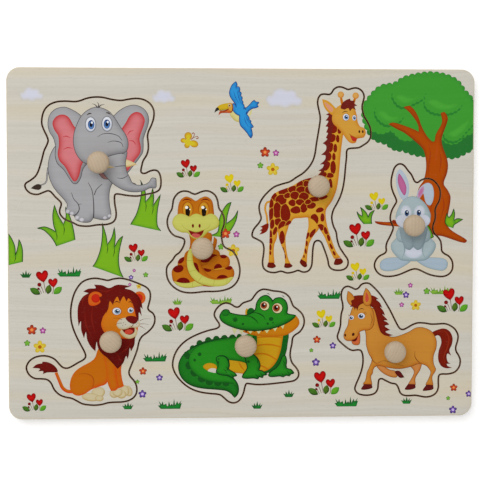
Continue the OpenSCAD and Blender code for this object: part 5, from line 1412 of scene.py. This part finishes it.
def sheetLoops(nodeName, height):
    # a sheet's outlines, the largest first, and what each one is: a screw hole, a board's edge or a cut
    v = sheetValues
    loops, kinds = outlines(nodeName, height), []
    for k, loop in enumerate(loops):
        if abs(area(loop)) < v["largestHole"]:
            kinds.append("screw")
        elif k == 0 and len(loop) < v["cutCorners"]:
            kinds.append("outer")
            loops[k] = roundedBox(loop)
        else:
            kinds.append("cut")
            loops[k] = curve(loop, 2)
    return loops, kinds


def triangles(points, edges, grid=()):
    # flat triangles over points and edges, in the plane
    spots = [Vector(p) for p in points] + [Vector(p) for p in grid]
    places, _, faces, source, _, _ = delaunay_2d_cdt(spots, edges, [], 0, sheetValues["joined"])
    return np.array([tuple(p) for p in places]), [list(f) for f in faces], source


def looped(lines):
    # the points of closed lines, one line after another, and the edges that join them
    points, edges = [], []
    for line in lines:
        first, n = len(points), len(line)
        points += [tuple(p) for p in line]
        edges += [(first + k, first + (k + 1) % n) for k in range(n)]
    return points, edges


def band(lower, upper):
    # the sides between two closed rows of numbered points
    n = len(lower)
    return [[lower[k], lower[(k + 1) % n], upper[(k + 1) % n], upper[k]] for k in range(n)]


def flatBetween(rows, rings):
    # triangles that face down, inside the first ring of numbered points and outside the others
    points, edges = looped(rings)
    names = [number for row in rows for number in row]
    spots, flat, source = triangles(points, edges)
    middle = np.array([spots[face].mean(0) for face in flat])
    depth = sum(inside(ring, middle).astype(int) for ring in rings)
    faces = []
    for face, count in zip(flat, depth):
        if count == 1 and all(source[c] for c in face):
            a, b, c = (names[source[k][0]] for k in face)
            faces.append([a, c, b])
    return faces


def uppermost(layers, points):
    # the number of the last layer that covers each point, or -1
    top = np.full(len(points), -1)
    for k, layer in enumerate(layers):
        low, high = layer["shape"].min(0), layer["shape"].max(0)
        near = np.where(((points >= low) & (points <= high)).all(1))[0]
        if not len(near):
            continue
        covered = inside(layer["shape"], points[near])
        for limit in layer["within"]:
            covered &= inside(limit, points[near])
        top[near[covered]] = k
    return top


def inkGrid(layers, low, high, spacing):
    # a lattice of points where a shaded shape is uppermost and near its own edge
    xs = np.arange(low[0], high[0], spacing)
    ys = np.arange(low[1], high[1], spacing * sheetValues["gridRow"])
    grid = np.array([(x + (j % 2) * spacing / 2, y) for j, y in enumerate(ys) for x in xs])
    top = uppermost(layers, grid)
    keep = np.zeros(len(grid), bool)
    for k in np.unique(top[top >= 0]):
        layer = layers[k]
        if layer["shade"] is not None:
            own = np.where(top == k)[0]
            reach = nearest(layer["shape"], grid[own])[0]
            farthest = layer["reach"] + spacing
            keep[own[(reach > spacing * sheetValues["gridGap"]) & (reach < farthest)]] = True
    return grid[keep]


def inkAt(layer, points):
    # the print's colour at points of a layer, in linear light
    plain = np.array(tint(layer["ink"])[:3])
    if layer["shade"] is None:
        return np.repeat(plain[None], len(points), 0)
    shape = layer["shape"]
    reach, number, _ = nearest(shape, points)
    depth = np.clip(reach / layer["reach"], 0, 1)
    amount = (1 - depth) ** 2
    if layer["side"]:
        side = np.roll(shape, -1, 0) - shape
        inward = np.stack([-side[:, 1], side[:, 0]], 1) * math.copysign(1, area(shape))
        inward /= np.maximum(np.linalg.norm(inward, axis=1), 1e-9)[:, None]
        least = sheetValues["leastShade"]
        toLight = inward[number] @ sheetValues["lightFrom"]
        amount *= least + (1 - least) * np.clip(toLight * 0.6 + 0.5, 0, 1)
    shade = np.array(tint(layer["shade"])[:3])
    return plain + (shade - plain) * amount[:, None]


def printedFace(inner, layers, box, grid):
    # a sheet's face, cut along every shape of its print, and the layer that colours each triangle
    lines = inner + [layer["shape"] for layer in layers]
    known = set()
    for layer in layers:
        for limit in layer["within"]:
            if limit.tobytes() not in known:
                known.add(limit.tobytes())
                lines.append(limit)
    points, edges = looped(lines)
    spots, faces, _ = triangles(points, edges, inkGrid(layers, *box, grid) if layers else ())
    corners = spots[np.array(faces)]
    middle = corners.mean(1)
    (ax, ay), (bx, by), (cx, cy) = corners.transpose(1, 2, 0)
    turn = (bx - ax) * (cy - ay) - (by - ay) * (cx - ax)
    keep = inside(inner[0], middle) & (np.abs(turn) > 1e-9)
    for hole in inner[1:]:
        keep &= ~inside(hole, middle)
    faces = [f if t > 0 else f[::-1] for f, t, k in zip(faces, turn, keep) if k]
    used = {}
    for face in faces:
        for corner in face:
            used.setdefault(corner, len(used))
    faces = [[used[c] for c in face] for face in faces]
    return spots[list(used)], faces, uppermost(layers, middle[keep])


def rimsOf(faces):
    # the open edges of a face as closed rims, so that the walls join it at every point of the print
    sides = {(a, b) for face in faces for a, b in zip(face, face[1:] + face[:1])}
    after = {a: b for a, b in sides if (b, a) not in sides}
    rims = []
    while after:
        at, rim = next(iter(after)), []
        while at in after:
            rim.append(at)
            at = after.pop(at)
        rims.append(rim)
    return rims


def wallRings(place, outer, ease, steps, bottom, top):
    # rings down a wall from its rim in the face to the underside, eased at both ends
    rings = []
    for end, way, order in ((top, -1, range(1, steps + 1)), (bottom, 1, range(steps, -1, -1))):
        for k in order:
            a = math.pi / 2 * k / steps
            rings.append((place + (outer - place) * math.sin(a), end + way * ease * (1 - math.cos(a))))
    return rings


def holeRings(outer, loop, lowerLoop, bottom):
    # rings down a screw hole: its shank, then its countersink at the underside
    centre = loop.mean(0)
    head, shank = (np.linalg.norm(ring - centre, axis=1).mean() for ring in (lowerLoop, loop))
    return [(outer, bottom + sheetValues["screwSink"]), (centre + (outer - centre) * head / shank, bottom)]


def cutSheet(name, nodeName, layers, grid, outerRound, finishes):
    # one sheet: printed face, eased edges, walls and underside, on the outlines of its CAD piece
    low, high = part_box(nodeName)
    bottom, top = low.z / unit, high.z / unit
    loops, kinds = sheetLoops(nodeName, top)
    eased = {"screw": 0.0, "outer": outerRound, "cut": sheetValues["cutBevel"]}
    inner = [loop + sideways(loop, True) * eased[kind] for loop, kind in zip(loops, kinds)]
    boxLow, boxHigh = loops[0].min(0), loops[0].max(0)
    near = [layer for layer in layers
            if (layer["shape"].max(0) > boxLow).all() and (layer["shape"].min(0) < boxHigh).all()]
    spots, faces, covers = printedFace(inner, near, (boxLow, boxHigh), grid)
    vertices = [(x, y, top) for x, y in spots]
    finishOf = [0] * len(faces)
    lastRows, lastRings = [], []
    for rim in rimsOf(faces):
        place = spots[rim]
        which = min(range(len(inner)), key=lambda k: nearest(inner[k], place[:1])[0][0])
        _, number, along = nearest(inner[which], place)
        loop, kind = loops[which], kinds[which]
        outer = loop[number] + (np.roll(loop, -1, 0)[number] - loop[number]) * along[:, None]
        if kind == "screw":
            rings = holeRings(outer, loop, outlines(nodeName, bottom)[which], bottom)
        else:
            steps = sheetValues["roundSteps" if kind == "outer" else "bevelSteps"]
            rings = wallRings(place, outer, eased[kind], steps, bottom, top)
        row = rim
        for ring, height in rings:
            above, row = row, list(range(len(vertices), len(vertices) + len(ring)))
            vertices += [(x, y, height) for x, y in ring]
            faces += band(row, above)
            finishOf += [2 if kind == "outer" else 1] * len(row)
        lastRows.append(row)
        lastRings.append(ring)
    faces += flatBetween(lastRows, lastRings)
    finishOf += [3] * (len(faces) - len(finishOf))

    mesh = meshOf(name, vertices, faces, sheetValues["sharpest"])
    for finish in finishes:
        mesh.materials.append(finish)
    mesh.polygons.foreach_set("material_index", finishOf)
    paint(mesh, near, covers, spots)
    print(name, len(mesh.polygons), "faces")
    return mesh


def paint(mesh, layers, covers, spots):
    # the face's triangles come first in the mesh, so their corners do too
    colours = np.zeros((len(mesh.loops), 4), np.float32)
    starts = np.arange(len(covers)) * 3
    loopVertex = np.zeros(len(mesh.loops), np.int32)
    mesh.loops.foreach_get("vertex_index", loopVertex)
    for k in np.unique(covers[covers >= 0]):
        own = np.where(covers == k)[0]
        cornersOf = (starts[own][:, None] + np.arange(3)).ravel()
        numbers = loopVertex[cornersOf]
        single, back = np.unique(numbers, return_inverse=True)
        colours[cornersOf, :3] = inkAt(layers[k], spots[single])[back]
        colours[cornersOf, 3] = 1
    layer = mesh.color_attributes.new("ink", "FLOAT_COLOR", "CORNER")
    layer.data.foreach_set("color", colours.ravel())


# the finishes of a sheet's face, its laser cuts, its outer edge and its underside
cutFinishes = [printed, burntEdge, sandedEdge, underside]
backFinishes = [underside, sandedEdge, sandedEdge, underside]
background = []
backgroundArt(Drawing((0, 0), background, sceneInks))
v = sheetValues
mesh = cutSheet("printedBoard", "picture_board", background, v["boardGrid"], v["outerRound"], cutFinishes)
fitted("printedBoard", mesh, "board", "picture_board")
mesh = cutSheet("backingPly", "backing_board", [], v["boardGrid"], v["backingRound"], backFinishes)
fitted("backingPly", mesh, "board", "backing_board")
for animal in animals:
    low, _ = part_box(animal + "_piece")
    layers = list(background)
    draw, inks = animalArt[animal]
    draw(Drawing((low.x / unit, low.y / unit), layers, inks))
    mesh = cutSheet(animal + "Sheet", animal + "_piece", layers, v["animalGrid"], 0, cutFinishes)
    fitted(animal + "Sheet", mesh, animal, animal + "_piece")
print("sheets cut and printed")


# Turned knobs, on the profile of the real ones: foot, hollow, neck and flattened head

knobValues = {
    "headDepth": 7.5,
    "neckDiameter": 7.6,
    "footDiameter": 10,
    "footRim": 1.0,
    "footEase": 0.25,
    "hollowShare": 0.62,
    "widestShare": 0.42,
    "squareness": 2.6,
    "markRadius": 0.45,
    "markShoulder": 1.5,  # times its radius
    "markStep": 0.04,
    "markDepth": 0.22,
    "holeDiameter": 3.2,
    "holeDepth": 9.0,
    "segments": 96,
    "sharpest": 40,  # degrees
    "turnStep": 0.9,  # radians, from one knob to the next
    "grainStep": 0.37,
    "pale": (188, 168, 142),
    "dark": (181, 160, 133),
    "pore": (156, 131, 102),
}


def latheMesh(name, profile):
    # a profile of radius and height turned about Z, closed where its radius is zero
    segments = knobValues["segments"]
    vertices, faces, rows = [], [], []
    for radius, height in profile:
        if radius < 1e-6:
            rows.append([len(vertices)] * segments)
            vertices.append((0, 0, height))
        else:
            rows.append(list(range(len(vertices), len(vertices) + segments)))
            vertices += [(radius * math.cos(a), radius * math.sin(a), height)
                         for a in np.arange(segments) * 2 * math.pi / segments]
    for lower, upper in zip(rows, rows[1:]):
        for face in band(lower, upper):
            face = list(dict.fromkeys(face))
            if len(face) > 2:
                faces.append(face)
    return meshOf(name, vertices, faces, knobValues["sharpest"])


def knobWood(count):
    # the same turned wood for every knob, each from its own place in the tree
    v = knobValues
    finish, shader, place = newFinish("knobWood" + str(count))
    grain = grouped(turnedGrain, {"Place": place, "Seed": count * v["grainStep"]})
    wood = blended(grain["Rings"], tint(v["dark"]), tint(v["pale"]))
    wood = blended(ranged(grain["Fibres"], 0.4, 0.7, 0.0, 0.3), wood, tint(v["dark"]))
    wood = blended(ranged(grain["Fibres"], 0.66, 0.74, 0.0, 0.35), wood, tint(v["pore"]))
    wood = blended(times(grain["Lines"], 0.06), wood, tint(v["pore"]))
    rough = ranged(grain["Rings"], 0, 1, 0.5, 0.6)
    dressed(shader, wood, rough, grain["Height"], depth=0.00008, strength=0.6)
    return finish


def knobProfile(height, radius):
    # radius and height from the blind hole's end, out over the foot and up to the centre mark
    v = knobValues
    neckTop = height - v["headDepth"]
    widest = neckTop + v["headDepth"] * v["widestShare"]
    foot, neck, hole = v["footDiameter"] / 2, v["neckDiameter"] / 2, v["holeDiameter"] / 2
    hollow = v["footRim"] + (neckTop - v["footRim"]) * v["hollowShare"]
    ease = v["footEase"]
    mark = v["markRadius"]
    shoulder = mark * v["markShoulder"]
    crown = arc((0, widest), (radius, height - widest), 0, 90, v["squareness"], steps=26)
    crown = [p for p in crown if p[0] > shoulder]
    crown += [(shoulder, height), (mark, height - v["markStep"]), (0, height - v["markDepth"])]
    return ([(0, v["holeDepth"]), (hole, v["holeDepth"] - hole), (hole, 0), (foot - ease, 0)]
            + arc((foot - ease, ease), (ease, ease), 270, 360, steps=3)
            + arc((foot, hollow), (foot - neck, hollow - v["footRim"]), 270, 180, steps=12)
            + arc((neck, widest), (radius - neck, widest - neckTop), 270, 360)[:-1] + crown)


# Countersunk wood screws, heads downwards

screwValues = {
    "headRim": 0.12,
    "plainShank": 0.6,
    "leadIn": 0.2,
    "fadeIn": 1.0,
    "threadPitch": 1.25,
    "rowsPerTurn": 5,
    "threadDiameter": 3.0,
    "coreDiameter": 2.1,
    "pointLength": 3.0,
    "tipGap": 0.1,
    "crossReach": 0.6,
    "crossWidth": 0.13,
    "crossDepth": 0.9,
    "crossFloor": 0.55,
    "segments": 28,
    "sharpest": 38,  # degrees
    "turnStep": 0.7,  # radians, from one screw to the next
    "zinc": (196, 198, 196),
    "zincDull": (146, 148, 146),
}


def screwRows(length, headRadius):
    # rings of points up a screw: the head's rim, its taper, the threaded shank and the point
    v = screwValues
    core, crest, pitch = v["coreDiameter"] / 2, v["threadDiameter"] / 2, v["threadPitch"]
    taperTop = headRadius - crest
    threadStart = taperTop + v["plainShank"]
    circle = np.arange(v["segments"]) * 2 * math.pi / v["segments"]
    rows = [[(headRadius * math.cos(a), headRadius * math.sin(a), height) for a in circle]
            for height in (0.0, v["headRim"])]
    climb = np.arange(threadStart + v["leadIn"], length - v["tipGap"], pitch / v["rowsPerTurn"])
    for height in [taperTop, threadStart, *climb]:
        fade = min(1, max(0, (height - threadStart) / v["fadeIn"]))
        point = min(1, (length - height) / v["pointLength"])
        row = []
        for a in circle:
            turn = (height / pitch - a / (2 * math.pi)) % 1
            ridge = max(0.0, 1 - abs(turn - 0.5) * 4)  # half of the pitch wide
            radius = (crest + (core + (crest - core) * ridge - crest) * fade) * point
            row.append((radius * math.cos(a), radius * math.sin(a), height))
        rows.append(row)
    return rows


def drivenScrew(name, length, headRadius):
    # a screw with a closed point, and in its head a cross recess that narrows to a smaller floor
    v = screwValues
    points = screwRows(length, headRadius)
    vertices = [point for row in points for point in row] + [(0, 0, length)]
    n, tip = v["segments"], len(vertices) - 1
    rows = [list(range(k * n, k * n + n)) for k in range(len(points))]
    faces = [face for lower, upper in zip(rows, rows[1:]) for face in band(lower, upper)]
    faces += [[a, b, tip] for a, b in zip(rows[-1], rows[-1][1:] + rows[-1][:1])]
    arm, half = headRadius * v["crossReach"], headRadius * v["crossWidth"]
    quarter = np.array([(arm, -half), (arm, half), (half, half)])
    cross = np.vstack([turned(quarter, turn) for turn in (0, 90, 180, 270)])
    rim = list(range(tip + 1, tip + 1 + len(cross)))
    floor = [number + len(cross) for number in rim]
    vertices += [(x, y, 0.0) for x, y in cross]
    vertices += [(x, y, v["crossDepth"]) for x, y in cross * v["crossFloor"]]
    faces += flatBetween([rows[0], rim], [np.array(points[0])[:, :2], cross])
    faces += band(rim, floor) + [floor[::-1]]
    return meshOf(name, vertices, faces, v["sharpest"])


def zincSteel():
    # zinc plating, cloudy and faintly scratched
    v = screwValues
    finish, shader, place = newFinish("zincSteel")
    cloud = noise(place, (1400, 1400, 1400), 4.0, 0.6)
    scratch = noise(place, (600, 600, 9000), 2.0, 0.5)
    colour = blended(ranged(cloud, 0.35, 0.7), tint(v["zinc"]), tint(v["zincDull"]))
    rough = ranged(cloud, 0.3, 0.7, 0.24, 0.42)
    shader.inputs["Metallic"].default_value = 1.0
    dressed(shader, colour, rough, plus(cloud, scratch), depth=0.00002, strength=0.5)
    return finish


steel = zincSteel()
for count, animal in enumerate(animals):
    low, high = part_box(animal + "_knob")
    x, y = (low.x + high.x) / 2, (low.y + high.y) / 2
    size = (high - low) / unit
    turn = count * knobValues["turnStep"]
    mesh = latheMesh(animal + "KnobMesh", knobProfile(size.z, size.x / 2))
    mesh.materials.append(knobWood(count))
    fitted(animal + "TurnedKnob", mesh, animal, animal + "_knob", (x, y, low.z), turn)

    low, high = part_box(animal + "_screw")
    size = (high - low) / unit
    turn = count * screwValues["turnStep"]
    mesh = drivenScrew(animal + "ScrewMesh", size.z, size.y / 2)
    mesh.materials.append(steel)
    fitted(animal + "DrivenScrew", mesh, animal, animal + "_screw", (x, y, low.z), turn)
print("knobs turned, screws driven")
